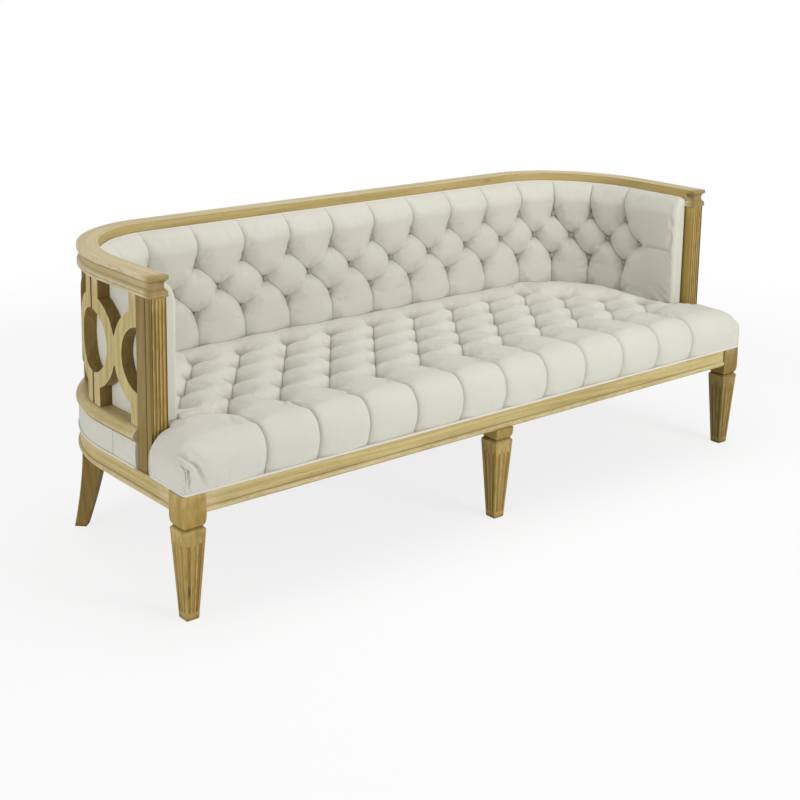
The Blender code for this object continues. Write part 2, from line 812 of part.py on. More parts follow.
def seat_height(x, y):
    """The height of the seat pad's top face."""
    end = WIDTH / 2 + SEAT_BULGE
    edge = FRONT - SEAT_BULGE
    row = (y - FRONT - SEAT_FIRST_ROW) / SEAT_ROW
    row = min(max(row, 0.0), SEAT_ROWS - 1.0)
    column = x / TUFT_PITCH
    crown = SEAT_CROWN * (1.0 - (x / end) ** 2)
    top = SEAT_HEIGHT + crown - SEAT_PUFF * relief(column, row, TUFT_PITCH, SEAT_ROW)
    ahead = min(max((y - edge) / SEAT_ROLL_FRONT, 0.0), 1.0)
    aside = min(max((end - abs(x)) / SEAT_ROLL_END, 0.0), 1.0)
    drop = 2.0 - math.sqrt(1.0 - (1.0 - ahead) ** 2)
    drop -= math.sqrt(1.0 - (1.0 - aside) ** 2)
    return top - SEAT_EDGE_DROP * min(drop, 1.0)


def seat_grid(rows, columns):
    """A level grid of the seat pad's rows and columns, with each vertex's column and row."""
    reach = len(columns) - 1
    last = len(rows) - 1
    bm = bmesh.new()
    bmesh.ops.create_grid(bm, x_segments=2 * reach, y_segments=last, size=1.0)
    places = {
        vert: (round(vert.co.x * reach), round((vert.co.y + 1) / 2 * last)) for vert in bm.verts
    }
    return bm, places


def seat_place(column, row, rows, columns, neck):
    """The plan point of a seat grid vertex, drawn in at the rear corners and rounded in front."""
    x = columns[abs(column)]
    y = rows[row]
    fixed = TUFT_PITCH * (SEAT_ROWS - 1)
    if y > CENTRE_Y and x > fixed:
        x = fixed + (x - fixed) * (seat_half_width(y) - fixed) / (columns[neck] - fixed)
    ahead = max(SEAT_CORNER - (y - rows[0]), 0.0) / SEAT_CORNER
    aside = max(x - (columns[-1] - SEAT_CORNER), 0.0) / SEAT_CORNER
    inward = SEAT_CORNER * SEAT_CORNER_SHARE * (ahead * aside) ** 2
    return math.copysign(x - inward, column), y + inward


def split_along_pleats(bm):
    """Splits each face of the seat's top along the diagonal that lies nearest to its true form."""
    for face in bm.faces[:]:
        corners = [loop.vert for loop in face.loops]
        middle = face.calc_center_median()
        height = seat_height(middle.x, middle.y)
        first = abs((corners[0].co.z + corners[2].co.z) / 2 - height)
        second = abs((corners[1].co.z + corners[3].co.z) / 2 - height)
        pair = (corners[0], corners[2]) if first < second else (corners[1], corners[3])
        bmesh.utils.face_split(face, *pair)


def make_seat_pad():
    """The seat pad: a tufted top face rolled over in front, on sides that bulge and draw in."""
    rows = seat_rows()
    columns, neck = seat_columns()
    post_row = len(front_row_shares) - 1
    pad_row = rows.index(POST_FRONT - FIT + PAD_SETBACK)
    bm, places = seat_grid(rows, columns)
    outside = []
    for face in bm.faces:
        row = min(places[v][1] for v in face.verts)
        column = min(abs(places[v][0]) for v in face.verts)
        if (row >= post_row and column > neck) or (row >= pad_row and column >= neck):
            outside.append(face)
    for vert, (column, row) in places.items():
        x, y = seat_place(column, row, rows, columns, neck)
        vert.co = (x, y, seat_height(x, y))
    bmesh.ops.delete(bm, geom=outside, context="FACES")
    split_along_pleats(bm)
    border = [edge for edge in bm.edges if edge.is_boundary]
    base = APRON_TOP + FIT
    for up in seat_side_shares:
        made = bmesh.ops.extrude_edge_only(bm, edges=border)["geom"]
        border = [item for item in made if isinstance(item, bmesh.types.BMEdge)]
        for vert in [item for item in made if isinstance(item, bmesh.types.BMVert)]:
            vert.co.z = base + (vert.co.z - base) * up
            if up:
                continue
            if abs(vert.co.x) > WIDTH / 2:
                vert.co.x -= math.copysign(SEAT_BULGE, vert.co.x)
            if vert.co.y < FRONT:
                vert.co.y += SEAT_BULGE
    bmesh.ops.holes_fill(bm, edges=border, sides=0)
    add("seat_pad", bm, LINEN, smooth_angle=60)


# Inside pads


def pad_column(station):
    """The tuft column at a station, where the pitch narrows past the straight back."""
    straight = STRAIGHT_TUFTS * TUFT_PITCH
    along = abs(station)
    if along <= straight:
        return along / TUFT_PITCH, TUFT_PITCH
    return STRAIGHT_TUFTS + (along - straight) / CORNER_PITCH, CORNER_PITCH


def pad_heights():
    """Heights of the rows of vertices on the inside pads' faces, bottom to top."""
    base = APRON_TOP + FIT
    top = HEIGHT - CAP_LEDGE - FIT
    half_row = PAD_ROW / 2
    lowest = PAD_LOW_ROW - PAD_ROW
    heights = [base, SEAT_HEIGHT, lowest]
    heights += [lowest + half_row * i for i in range(1, 2 * PAD_ROWS + 2)]
    heights += [PAD_ROLL_START + (top - PAD_ROLL_START) * share for share in pad_roll_shares]
    return heights + [top]


def rounding(distance, radius):
    """How far a quarter-round edge falls away at a distance inside it."""
    share = min(max(distance / radius, 0.0), 1.0)
    return radius * (1.0 - math.sqrt(1.0 - (1.0 - share) ** 2))


def pad_face(station, z, gauge):
    """The inset of an inside pad's face at a station and height."""
    angle = 0.0 if abs(station) <= CENTRE_X else corner_angle(station, gauge)
    deep = pad_depth(angle)
    puff = PAD_PUFF_BACK * math.cos(angle) ** 2 + PAD_PUFF_ARM * math.sin(angle) ** 2
    column, pitch = pad_column(station)
    row = min(max((z - PAD_LOW_ROW) / PAD_ROW, 0.0), PAD_ROWS - 1.0)
    fade = min(max((z - SEAT_HEIGHT - SEAT_CROWN) / PAD_FADE, 0.0), 1.0)
    end = pad_end(gauge) - abs(station)
    fade *= min(max(end / PAD_FADE, 0.0), 1.0)
    inset = deep - puff * relief(column + 0.5, row, pitch, PAD_ROW) * fade
    top = HEIGHT - CAP_LEDGE - FIT
    rise = min(max((z - PAD_ROLL_START) / (top - PAD_ROLL_START), 0.0), 1.0)
    return PAD_TUCK + (inset - PAD_TUCK - rounding(end, PAD_EDGE)) * math.sqrt(1.0 - rise**2)


def pad_end(gauge):
    """The station of the inside pads' front ends, a little behind the posts' fronts."""
    return station_at(POST_FRONT + PAD_SETBACK, gauge)


def inside_pad(name, stations, gauge):
    """One inside pad: tufted face, and a hooked back that wraps over the backing board."""
    base = APRON_TOP + FIT
    hook = CAP_UNDERSIDE + FIT
    tuck = CAP_REBATE + FIT
    heights = pad_heights()
    rings = []
    for station in stations:
        top = heights[-1] - rounding(pad_end(gauge) - abs(station), PAD_CORNER)
        outline = [(pad_face(station, z, gauge), min(z, top)) for z in heights]
        outline += [(tuck, top), (tuck, hook), (PAD_INSET, hook), (PAD_INSET, base)]
        rings.append([(*plan_point(station, inset, gauge), z) for inset, z in outline])
    add(name, skin(rings), LINEN, smooth_angle=60)


def make_inside_pads():
    """The tufted pads round both arms and along the back."""
    gauge = SEAT_SIDE
    step = TUFT_PITCH / 4
    joint = CENTRE_X - FIT / 2
    count = int(joint / step)
    back = [-joint] + [step * i for i in range(-count, count + 1)] + [joint]
    inside_pad("inside_pad_back", back, gauge)
    end = pad_end(gauge)
    first = STRAIGHT_TUFTS * TUFT_PITCH
    quarter = CORNER_PITCH / 4
    turns = int((end - PAD_CORNER - first) / quarter)
    tufts = [first + quarter * i for i in range(turns + 1)]
    right = [CENTRE_X + FIT / 2] + [station for station in tufts if station > CENTRE_X + FIT]
    right += [end - PAD_CORNER * share for share in reversed(pad_end_shares)]
    inside_pad("inside_pad_right", right, gauge)
    inside_pad("inside_pad_left", [-s for s in reversed(right)], gauge)


make_legs()
make_apron()
make_inside_frame()
make_band()
make_shelf()
make_posts()
make_splats()
make_panels()
make_cap()
make_seat_pad()
make_inside_pads()
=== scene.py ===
"""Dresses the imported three-seat sofa: a limed oak frame with fretwork sides and tufted linen.

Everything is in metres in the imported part's own frame: X runs along the sofa's width, its front
faces -Y, and Z is up from the floor. Most rails follow one U-shaped plan line. A station is a
distance along that line, 0 in the middle of the back and growing towards the right arm. An inset
is how far a point lies inside the line.
"""

import logging
import math
from collections.abc import Callable, Iterator
from contextlib import contextmanager
from dataclasses import dataclass, field
from enum import Enum

import bmesh
import bpy
import numpy as np
from mathutils import Matrix, Vector


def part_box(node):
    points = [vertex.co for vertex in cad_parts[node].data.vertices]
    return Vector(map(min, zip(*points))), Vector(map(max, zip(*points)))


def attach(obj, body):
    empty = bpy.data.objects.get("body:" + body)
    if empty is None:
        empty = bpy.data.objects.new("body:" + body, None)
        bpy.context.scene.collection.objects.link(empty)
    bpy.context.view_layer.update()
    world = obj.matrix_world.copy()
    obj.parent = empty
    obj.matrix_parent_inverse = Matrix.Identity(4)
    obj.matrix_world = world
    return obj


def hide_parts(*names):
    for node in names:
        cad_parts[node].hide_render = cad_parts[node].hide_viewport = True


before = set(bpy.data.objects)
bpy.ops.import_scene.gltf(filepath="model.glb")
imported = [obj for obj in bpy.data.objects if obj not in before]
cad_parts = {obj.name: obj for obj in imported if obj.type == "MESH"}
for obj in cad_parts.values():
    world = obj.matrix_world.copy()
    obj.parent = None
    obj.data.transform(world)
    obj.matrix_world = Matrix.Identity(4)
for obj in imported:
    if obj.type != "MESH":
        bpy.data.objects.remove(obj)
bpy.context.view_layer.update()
LOG = logging.getLogger("sofa")
FIT = 0.0003
GAUGE = 0.008
FLAT = 0.1
CREASE_HOLD = 3.0
PIPE_SIDES = 10

Array = np.ndarray
Obj = bpy.types.Object
Material = bpy.types.Material
Tree = bpy.types.NodeTree
Node = bpy.types.Node
Socket = bpy.types.NodeSocket
Faces = list[tuple[int, ...]]
Outline = list[tuple[float, float]]
Place = Callable[[Array, Array, Array], Array]
Triple = tuple[float, float, float]
Rgba = tuple[float, float, float, float]
Shares = tuple[tuple[float, float], ...]


class Slot(Enum):
    """The two material slots."""

    OAK = "oak"
    LINEN = "linen"


class Side(Enum):
    """The two ends of the sofa, as the sign of x."""

    LEFT = -1.0
    RIGHT = 1.0


def low(node: str) -> Vector:
    """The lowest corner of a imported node."""
    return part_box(node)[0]


def high(node: str) -> Vector:
    """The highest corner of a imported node."""
    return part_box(node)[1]


# Plan line


@dataclass
class PlanLine:
    """The U-shaped line that the cap rail's outer edge follows.

    Each corner is a quarter of an ellipse. Stations are measured along a line that lies inside
    it by a gauge.
    """

    half_span: float = field(default_factory=lambda: high("cap_rail_right").x)
    back: float = field(default_factory=lambda: high("cap_rail_back").y)
    centre_x: float = field(default_factory=lambda: high("cap_rail_back").x + FIT / 2)
    corner_deep: float = 0.380
    samples: int = 400

    @property
    def corner_across(self) -> float:
        """How far a corner reaches across the sofa."""
        return self.half_span - self.centre_x

    @property
    def centre_y(self) -> float:
        """The depth at which the arms' straight stretches begin."""
        return self.back - self.corner_deep

    def corner(self, gauge: float) -> tuple[Array, Array]:
        """Samples the corner of the line inset by gauge.

        Args:
            gauge: inset of the line that stations are measured along.

        Returns:
            The distances along the corner, and the angles there from 0 at the back.
        """
        angles = np.linspace(0.0, math.pi / 2, self.samples)
        x = (self.corner_across - gauge) * np.sin(angles)
        y = (self.corner_deep - gauge) * np.cos(angles)
        return np.r_[0.0, np.cumsum(np.hypot(np.diff(x), np.diff(y)))], angles

    def angle(self, station: Array, gauge: float) -> Array:
        """The angle round the corner at each station, 0 along the back."""
        lengths, angles = self.corner(gauge)
        return np.interp(np.abs(station) - self.centre_x, lengths, angles)

    def at(self, station: Array, inset: Array, z: Array, gauge: float = GAUGE) -> Array:
        """Places points that are given by station, inset and height.

        Args:
            station: distances along the line.
            inset: distances inside the line.
            z: heights.
            gauge: inset of the line that stations are measured along.

        Returns:
            The points, with x, y and z in the last dimension.
        """
        past = np.abs(station) - self.centre_x
        angle = self.angle(station, gauge)
        round_x = self.centre_x + (self.corner_across - inset) * np.sin(angle)
        x = np.where(past <= 0, np.abs(station), round_x)
        y = self.centre_y + (self.corner_deep - inset) * np.cos(angle)
        y = y - np.maximum(past - self.corner(gauge)[0][-1], 0.0)
        return points_of(np.sign(station + FIT / 10) * x, y, z)

    def station_at(self, y: float, gauge: float = GAUGE) -> float:
        """The station on the right arm's straight stretch at a depth y."""
        return self.centre_x + self.corner(gauge)[0][-1] + self.centre_y - y

    def stations(self, start: float, end: float, step: float = 0.012) -> Array:
        """Stations from start to end, closely spaced round the corners only.

        Args:
            start: the first.
            end: the last.
            step: the distance between them in a corner.

        Returns:
            The stations in order.
        """
        count = max(int(round((end - start) / step)), 1)
        even = np.linspace(start, end, count + 1)
        corner_end = self.station_at(self.centre_y)
        turning = (np.abs(even) > self.centre_x - step) & (np.abs(even) < corner_end + step)
        turning[[0, -1]] = turning[::6] = True
        return even[turning]


# Meshes


def fillet(outline: Outline, radius: float, steps: int = 6) -> Outline:
    """Rounds the corners of an open outline.

    Args:
        outline: its points in order.
        radius: how far from each corner its rounding begins.
        steps: how many edges each rounding gets.

    Returns:
        The rounded outline.
    """
    rounded = outline[:1]
    for before, corner, after in zip(outline, outline[1:], outline[2:]):
        here = np.array(corner)
        start, end = (
            here + (np.array(beside) - here) * min(radius / math.dist(beside, corner), 0.45)
            for beside in (before, after)
        )
        for share in np.linspace(0.0, 1.0, steps + 1):
            point = (1 - share) ** 2 * start + 2 * share * (1 - share) * here + share**2 * end
            rounded.append(tuple(point))
    return rounded + outline[-1:]


def new_object(name: str, points: Array, faces: Faces) -> Obj:
    """Makes a mesh object in the scene from points and faces.

    Args:
        name: the object's name.
        points: its vertices.
        faces: vertex numbers by face.

    Returns:
        The new object.
    """
    mesh = bpy.data.meshes.new(name)
    mesh.from_pydata(points.reshape(-1, 3).tolist(), [], faces)
    obj = bpy.data.objects.new(name, mesh)
    bpy.context.scene.collection.objects.link(obj)
    return obj


def points_of(*parts: Array | float) -> Array:
    """Points from their three coordinates, which are broadcast together."""
    return np.stack(np.broadcast_arrays(*parts), axis=-1)


def store(obj: Obj, name: str, values: Array) -> None:
    """Stores a number or a vector for each vertex under a name that materials read.

    Args:
        obj: the mesh object.
        name: the attribute's name.
        values: one for each vertex.
    """
    vector = values.ndim > 1
    kind = "FLOAT_VECTOR" if vector else "FLOAT"
    attribute = obj.data.attributes.new(name, kind, "POINT")
    attribute.data.foreach_set("vector" if vector else "value", values.astype(float).ravel())


def bordered(outline: Outline, reach: float = 0.003) -> Outline:
    """A closed outline with extra points beside the corners of its long sides.

    Args:
        outline: its points in order.
        reach: how far from its corners they lie.

    Returns:
        The outline with the points added.
    """
    points = []
    for start, end in zip(outline, outline[1:] + outline[:1]):
        points.append(start)
        share = reach / max(math.dist(start, end), reach)
        if share < 1 / 3:
            here, along = np.array(start), np.subtract(end, start)
            points += [tuple(here + along * share), tuple(here + along * (1 - share))]
    return points


def creased_faces(index: Array, fold: Array) -> Faces:
    """One grid cell as a quad, or as two triangles that meet along its deeper fold.

    Args:
        index: the cell's vertices, two rows of two.
        fold: how much of a fold each vertex is.

    Returns:
        The cell's faces.
    """
    a, b, c, d = index[[0, 0, 1, 1], [0, 1, 1, 0]].tolist()
    down, up = min(fold[0, 0], fold[1, 1]), min(fold[0, 1], fold[1, 0])
    if max(down, up) < FLAT:
        return [(a, b, c, d)]
    return [(a, b, c), (a, c, d)] if down > up else [(a, b, d), (b, c, d)]


@contextmanager
def edited(mesh: bpy.types.Mesh) -> Iterator[bmesh.types.BMesh]:
    """Opens a mesh for edits, then turns its faces outwards and keeps it.

    Args:
        mesh: the mesh of a body that is closed once the edits are done.

    Returns:
        The open mesh.
    """
    bm = bmesh.new()
    bm.from_mesh(mesh)
    yield bm
    bmesh.ops.recalc_face_normals(bm, faces=bm.faces[:])
    bm.to_mesh(mesh)
    bm.free()


def smooth(obj: Obj, sharp: float) -> None:
    """Turns a body's faces outwards and shades it smooth.

    Args:
        obj: the body.
        sharp: the angle in degrees past which an edge stays sharp.
    """
    with edited(obj.data):
        pass
    obj.data.shade_smooth()
    obj.data.set_sharp_from_angle(angle=math.radians(sharp))


def mark_wear_and_hollow_shade(obj: Obj, gentle: float = 8.0, full: float = 30.0) -> None:
    """Stores how exposed each vertex is: 1 on a rubbed edge, -1 in a hollow, which is darkened
    partly as stain kept there and partly as painted shade.

    Args:
        obj: the piece.
        gentle: angle in degrees below which an edge counts as flat.
        full: angle in degrees from which it counts fully.
    """
    bm = bmesh.new()
    bm.from_mesh(obj.data)
    worn = []
    for vert in bm.verts:
        turns = [math.degrees(edge.calc_face_angle_signed(0.0)) for edge in vert.link_edges]
        rubbed = (max(turns, default=0.0) - gentle) / (full - gentle)
        hollow = (-min(turns, default=0.0) - gentle) / (full - gentle)
        worn.append(min(max(rubbed, 0.0), 1.0) - min(max(hollow, 0.0), 1.0))
    bm.free()
    store(obj, "wear", np.array(worn))


def finish_wood(obj: Obj, grain: Array, sharp: float, full: float = 30.0) -> None:
    """Stores a wooden piece's grain and wear, and shades it.

    Args:
        obj: the piece.
        grain: the wood's own coordinates at each vertex.
        sharp: the angle in degrees past which an edge stays sharp.
        full: the angle in degrees from which an edge is fully worn.
    """
    store(obj, "grain", grain.reshape(-1, 3))
    smooth(obj, sharp)
    mark_wear_and_hollow_shade(obj, full=full)


def finish_cloth(obj: Obj, along: Array, up: Array, sharp: float) -> None:
    """Stores how far along and across the cloth each vertex is, and shades the piece."""
    store(obj, "cloth", points_of(along, up, 0.0).reshape(-1, 3))
    smooth(obj, sharp)


def stored_wear(obj: Obj) -> Array:
    """The wear stored with each vertex."""
    wear = np.empty(len(obj.data.vertices))
    obj.data.attributes["wear"].data.foreach_get("value", wear)
    return wear


def limit_wear(obj: Obj, where: Array, most: float) -> None:
    """Lowers the stored wear of chosen vertices.

    Args:
        obj: the piece, with its wear stored.
        where: whether each vertex is chosen.
        most: the most wear that they keep.
    """
    wear = stored_wear(obj)
    wear = np.where(where, np.minimum(wear, most), wear)
    obj.data.attributes["wear"].data.foreach_set("value", wear)


def mark_side_shade_and_stain(obj: Obj, sides: Array) -> None:
    """Marks the vertices whose sides get a darker tint and aren't rubbed pale: painted shade, and
    on the splats' cut edges partly a real stain.
    """
    limit_wear(obj, sides, 0.0)
    store(obj, "glazed", sides.astype(float))


def ring_faces(here: Array) -> Faces:
    """Quads between rows of vertex numbers, each row a closed ring.

    Args:
        here: vertex numbers, one ring in each row.

    Returns:
        The quads.
    """
    beside = np.roll(here, -1, axis=1)
    quads = np.stack([here[:-1], beside[:-1], beside[1:], here[1:]], axis=-1)
    return [tuple(quad) for quad in quads.reshape(-1, 4).tolist()]


def skin(name: str, rings: Array, ends: Faces | None = None) -> Obj:
    """Makes a body over rings of points.

    Args:
        name: the piece's name.
        rings: points of shape (rings, points in a ring, 3).
        ends: the faces over its ends, where they aren't one face each.

    Returns:
        The new object.
    """
    here = np.arange(rings.size // 3).reshape(rings.shape[:2])
    if ends is None:
        ends = [tuple(here[0, ::-1].tolist()), tuple(here[-1].tolist())]
    return new_object(name, rings, ring_faces(here) + ends)


@dataclass
class Rail:
    """A length of one profile that follows a path.

    The profile is a closed outline in inset and height.
    """

    name: str
    profile: Outline
    stations: Array
    place: Place
    tone: float = 0.0

    def build(self) -> Obj:
        """Makes the rail with its grain running along it.

        Returns:
            The rail.
        """
        along = self.stations[:, None]
        inset, height = np.array(bordered(self.profile)).T
        obj = skin(self.name, self.place(along, inset[None], height[None]))
        finish_wood(obj, points_of(along, inset + self.tone, height + 2 * self.tone), 38.0)
        return obj


def pipe(name: str, path: Array, radius: float) -> Obj:
    """Makes a piping cord of round section along a path.

    Args:
        name: the piece's name.
        path: points of shape (count, 3).
        radius: the cord's radius.

    Returns:
        The new object, with its cloth coordinates.
    """
    tangent = np.gradient(path, axis=0)
    tangent /= np.linalg.norm(tangent, axis=1, keepdims=True)
    across = np.cross(tangent, [0.0, 0.0, 1.0])
    across /= np.linalg.norm(across, axis=1, keepdims=True)
    rise = np.cross(across, tangent)
    turns = np.linspace(0.0, 2 * math.pi, PIPE_SIDES, endpoint=False)
    around = turns[:, None]
    round_path = np.cos(around) * across[:, None] + np.sin(around) * rise[:, None]
    obj = skin(name, path[:, None] + radius * round_path)
    length = np.r_[0.0, np.cumsum(np.linalg.norm(np.diff(path, axis=0), axis=1))]
    finish_cloth(obj, length[:, None], turns[None] * radius, 60.0)
    return obj


# Shader groups


class Nodes:
    """A node tree with short calls to add, join and set its nodes."""

    def __init__(self, tree: Tree) -> None:
        """Keeps the tree that nodes are added to."""
        self.tree = tree

    def add(self, kind: str, inputs: dict | None = None, **settings: object) -> Node:
        """Adds a node.

        Args:
            kind: the node's type.
            inputs: a value or an output socket for each input, by name or number.
            settings: the node's own properties.

        Returns:
            The node.
        """
        node = self.tree.nodes.new(kind)
        for name, value in settings.items():
            setattr(node, name, value)
        return self.fill(node, inputs or {})

    def fill(self, node: Node, inputs: dict) -> Node:
        """Links or sets inputs of a node.

        Args:
            node: the node.
            inputs: a value or an output socket for each input, by name or number.

        Returns:
            The node.
        """
        for name, value in inputs.items():
            if isinstance(value, Socket):
                self.tree.links.new(value, node.inputs[name])
            else:
                node.inputs[name].default_value = value
        return node

    def math(self, operation: str, *values: object, clamp: bool = False) -> Socket:
        """A maths node over sockets or numbers."""
        inputs = dict(enumerate(values))
        return self.add("ShaderNodeMath", inputs, operation=operation, use_clamp=clamp).outputs[0]

    def stretch(self, vector: Socket, scale: Triple) -> Socket:
        """A vector multiplied by a scale on each axis."""
        inputs = {0: vector, 1: scale}
        return self.add("ShaderNodeVectorMath", inputs, operation="MULTIPLY").outputs[0]

    def noise(
        self, place: Socket, scale: Triple, detail: float = 3.0, rough: float = 0.5
    ) -> Socket:
        """Noise over a place that is stretched, with finer layers as strong as rough."""
        inputs = {"Vector": self.stretch(place, scale), "Detail": detail, "Roughness": rough}
        return self.add("ShaderNodeTexNoise", inputs | {"Scale": 1.0}).outputs["Fac"]

    def ramp(self, value: Socket, start: float, end: float) -> Socket:
        """A value taken smoothly from 0 at start to 1 at end."""
        inputs = {"Value": value, "From Min": start, "From Max": end}
        return self.add("ShaderNodeMapRange", inputs, interpolation_type="SMOOTHSTEP").outputs[0]

    def mix(self, share: object, first: object, second: object, blend: str = "MIX") -> Socket:
        """A colour mixed or blended from two, by the share of the second.

        Args:
            share: how much of the second is laid on.
            first: the colour below.
            second: the colour on top.
            blend: how they are blended.

        Returns:
            The colour.
        """
        inputs = {"Factor": share, "A": first, "B": second}
        node = self.add("ShaderNodeMix", inputs, data_type="RGBA", blend_type=blend)
        return node.outputs["Result"]

    def attribute(self, name: str, output: str = "Fac") -> Socket:
        """What is stored with the mesh under a name."""
        return self.add("ShaderNodeAttribute", attribute_name=name).outputs[output]

    def own_place(self) -> Socket:
        """The object's own coordinates."""
        return self.add("ShaderNodeTexCoord").outputs["Object"]

    def bump(self, height: Socket, distance: float, strength: float) -> Socket:
        """The normal over a height that is as high as a distance where it is 1."""
        inputs = {"Height": height, "Distance": distance, "Strength": strength}
        return self.add("ShaderNodeBump", inputs).outputs["Normal"]


COLOR, FLOAT, VECTOR = "NodeSocketColor", "NodeSocketFloat", "NodeSocketVector"


def new_group(
    name: str, inputs: dict[str, str], outputs: dict[str, str]
) -> tuple[Nodes, dict[str, Socket], Node]:
    """Starts a shader node group.

    Args:
        name: the group's name.
        inputs: the names of its inputs, by socket type.
        outputs: the names of its outputs, by socket type.

    Returns:
        The group's nodes, what it is given and its output node.
    """
    tree = bpy.data.node_groups.new(name, "ShaderNodeTree")
    for way, sockets in (("INPUT", inputs), ("OUTPUT", outputs)):
        for kind, labels in sockets.items():
            for label in labels.split():
                tree.interface.new_socket(label, in_out=way, socket_type=kind)
    n = Nodes(tree)
    given = {socket.name: socket for socket in n.add("NodeGroupInput").outputs}
    return n, given, n.add("NodeGroupOutput")


def wood_group() -> Tree:
    """Grain, fibres, pores and knots of a wood, along the first axis of Place.

    Returns:
        The node group.
    """
    n, given, end = new_group(
        "wood grain",
        {VECTOR: "Place", COLOR: "Light Dark Pore", FLOAT: "Figure Knots"},
        {COLOR: "Color", FLOAT: "Height Roughness"},
    )
    place = given["Place"]
    figure = n.math("SINE", n.math("MULTIPLY", n.noise(place, (0.7, 16.0, 16.0), 2.0), 48.0))
    figure = n.math("MULTIPLY_ADD", figure, 0.5, 0.5)
    fibre = n.noise(place, (5.0, 330.0, 330.0), 3.0, 0.6)
    cloud = n.noise(place, (1.6, 24.0, 24.0), 2.0)
    shade = n.math("MULTIPLY", figure, given["Figure"])
    shade = n.math("ADD", shade, n.math("MULTIPLY_ADD", fibre, 0.9, -0.45))
    shade = n.math("ADD", shade, n.math("MULTIPLY_ADD", cloud, 1.0, -0.32), clamp=True)
    pores = n.math("MULTIPLY", n.ramp(n.noise(place, (45.0, 900.0, 900.0), 2.0), 0.62, 0.72), 0.5)
    color = n.mix(pores, n.mix(shade, given["Light"], given["Dark"]), given["Pore"])
    cells = {"Vector": n.stretch(place, (5.0, 13.0, 13.0)), "Scale": 1.0}
    apart = n.add("ShaderNodeTexVoronoi", cells, feature="F1").outputs["Distance"]
    knot = n.math("SUBTRACT", 1.0, n.ramp(apart, 0.04, 0.13))
    n.fill(end, {
        "Color": n.mix(n.math("MULTIPLY", knot, given["Knots"]), color, given["Pore"]),
        "Height": n.math("SUBTRACT", n.math("MULTIPLY", fibre, 0.5), pores),
        "Roughness": n.math("MULTIPLY_ADD", shade, 0.14, 0.42),
    })
    return n.tree


def wear_group() -> Tree:
    """Sides tinted darker as painted shade (on the splats' cut edges partly a real stain), rubbed
    edges paler where Wear is above 0, hollows darker where it is below, as stain and painted
    shade.

    Returns:
        The node group.
    """
    n, given, end = new_group(
        "wear, stain and painted shade",
        {COLOR: "Color Worn Stain Glaze", FLOAT: "Wear Amount Glazed", VECTOR: "Place"},
        {COLOR: "Color"},
    )
    patches = n.ramp(n.noise(given["Place"], (30.0, 90.0, 90.0), 4.0), 0.3, 0.65)
    share = n.math("MULTIPLY", given["Wear"], given["Amount"])
    share = n.math("MULTIPLY", share, patches, clamp=True)
    # sides tinted by multiplying: painted shade, on the splats' cut edges partly a real stain
    color = n.mix(given["Glazed"], given["Color"], given["Glaze"], "MULTIPLY")
    color = n.mix(share, color, given["Worn"])
    # hollows darkened towards the pore colour: partly stain, partly painted shade
    hollow = n.math("MULTIPLY", given["Wear"], -0.62, clamp=True)
    n.fill(end, {"Color": n.mix(hollow, color, given["Stain"])})
    return n.tree


def weave_group() -> Tree:
    """Plain weave with slubs over the first two axes of Place, with painted shade laid on by the
    fold input for the shade in pleats, button pits and seams.

    Returns:
        The node group.
    """
    n, given, end = new_group(
        "plain weave with painted shade",
        {VECTOR: "Place", FLOAT: "Threads Slubs Fold", COLOR: "Light Dark Shade"},
        {COLOR: "Color", FLOAT: "Height"},
    )
    place = given["Place"]
    parts = n.add("ShaderNodeSeparateXYZ", {0: place}).outputs
    warp, weft = (n.math("MULTIPLY", parts[axis], given["Threads"]) for axis in ("X", "Y"))
    over = n.math("MODULO", n.math("ADD", n.math("FLOOR", warp), n.math("FLOOR", weft)), 2.0)
    over = n.math("ABSOLUTE", over)
    across_warp, across_weft = (
        n.math("ABSOLUTE", n.math("SINE", n.math("MULTIPLY", thread, math.pi)))
        for thread in (warp, weft)
    )
    under = n.math("MULTIPLY", across_weft, n.math("SUBTRACT", 1.0, over))
    threads = n.math("ADD", n.math("MULTIPLY", across_warp, over), under)
    slub, cross_slub = n.noise(place, (12.0, 420.0, 40.0)), n.noise(place, (420.0, 12.0, 40.0))
    slubs = n.math("MULTIPLY", n.math("ADD", slub, cross_slub), 0.5)
    shade = n.math("MULTIPLY", n.math("SUBTRACT", 1.0, threads), 0.35)
    shade = n.math("ADD", shade, n.math("MULTIPLY", slubs, given["Slubs"]))
    cloud = n.math("MULTIPLY_ADD", n.noise(place, (7.0, 7.0, 7.0)), 0.5, -0.25)
    shade = n.math("ADD", shade, cloud, clamp=True)
    color = n.mix(shade, given["Light"], given["Dark"])
    # painted shade: the Shade colour is laid over the weave by the fold input
    fold = n.math("POWER", given["Fold"], 3.0, clamp=True)
    n.fill(end, {
        "Color": n.mix(fold, color, given["Shade"]), "Height": n.math("ADD", threads, slubs)
    })
    return n.tree


# Finishes


def new_material(name: str) -> tuple[Material, Nodes, Node]:
    """A material with its nodes and its Principled shader.

    Args:
        name: the material's name.

    Returns:
        The material, its nodes and its shader.
    """
    material = bpy.data.materials.new(name)
    material.use_nodes = True
    return material, Nodes(material.node_tree), material.node_tree.nodes["Principled BSDF"]


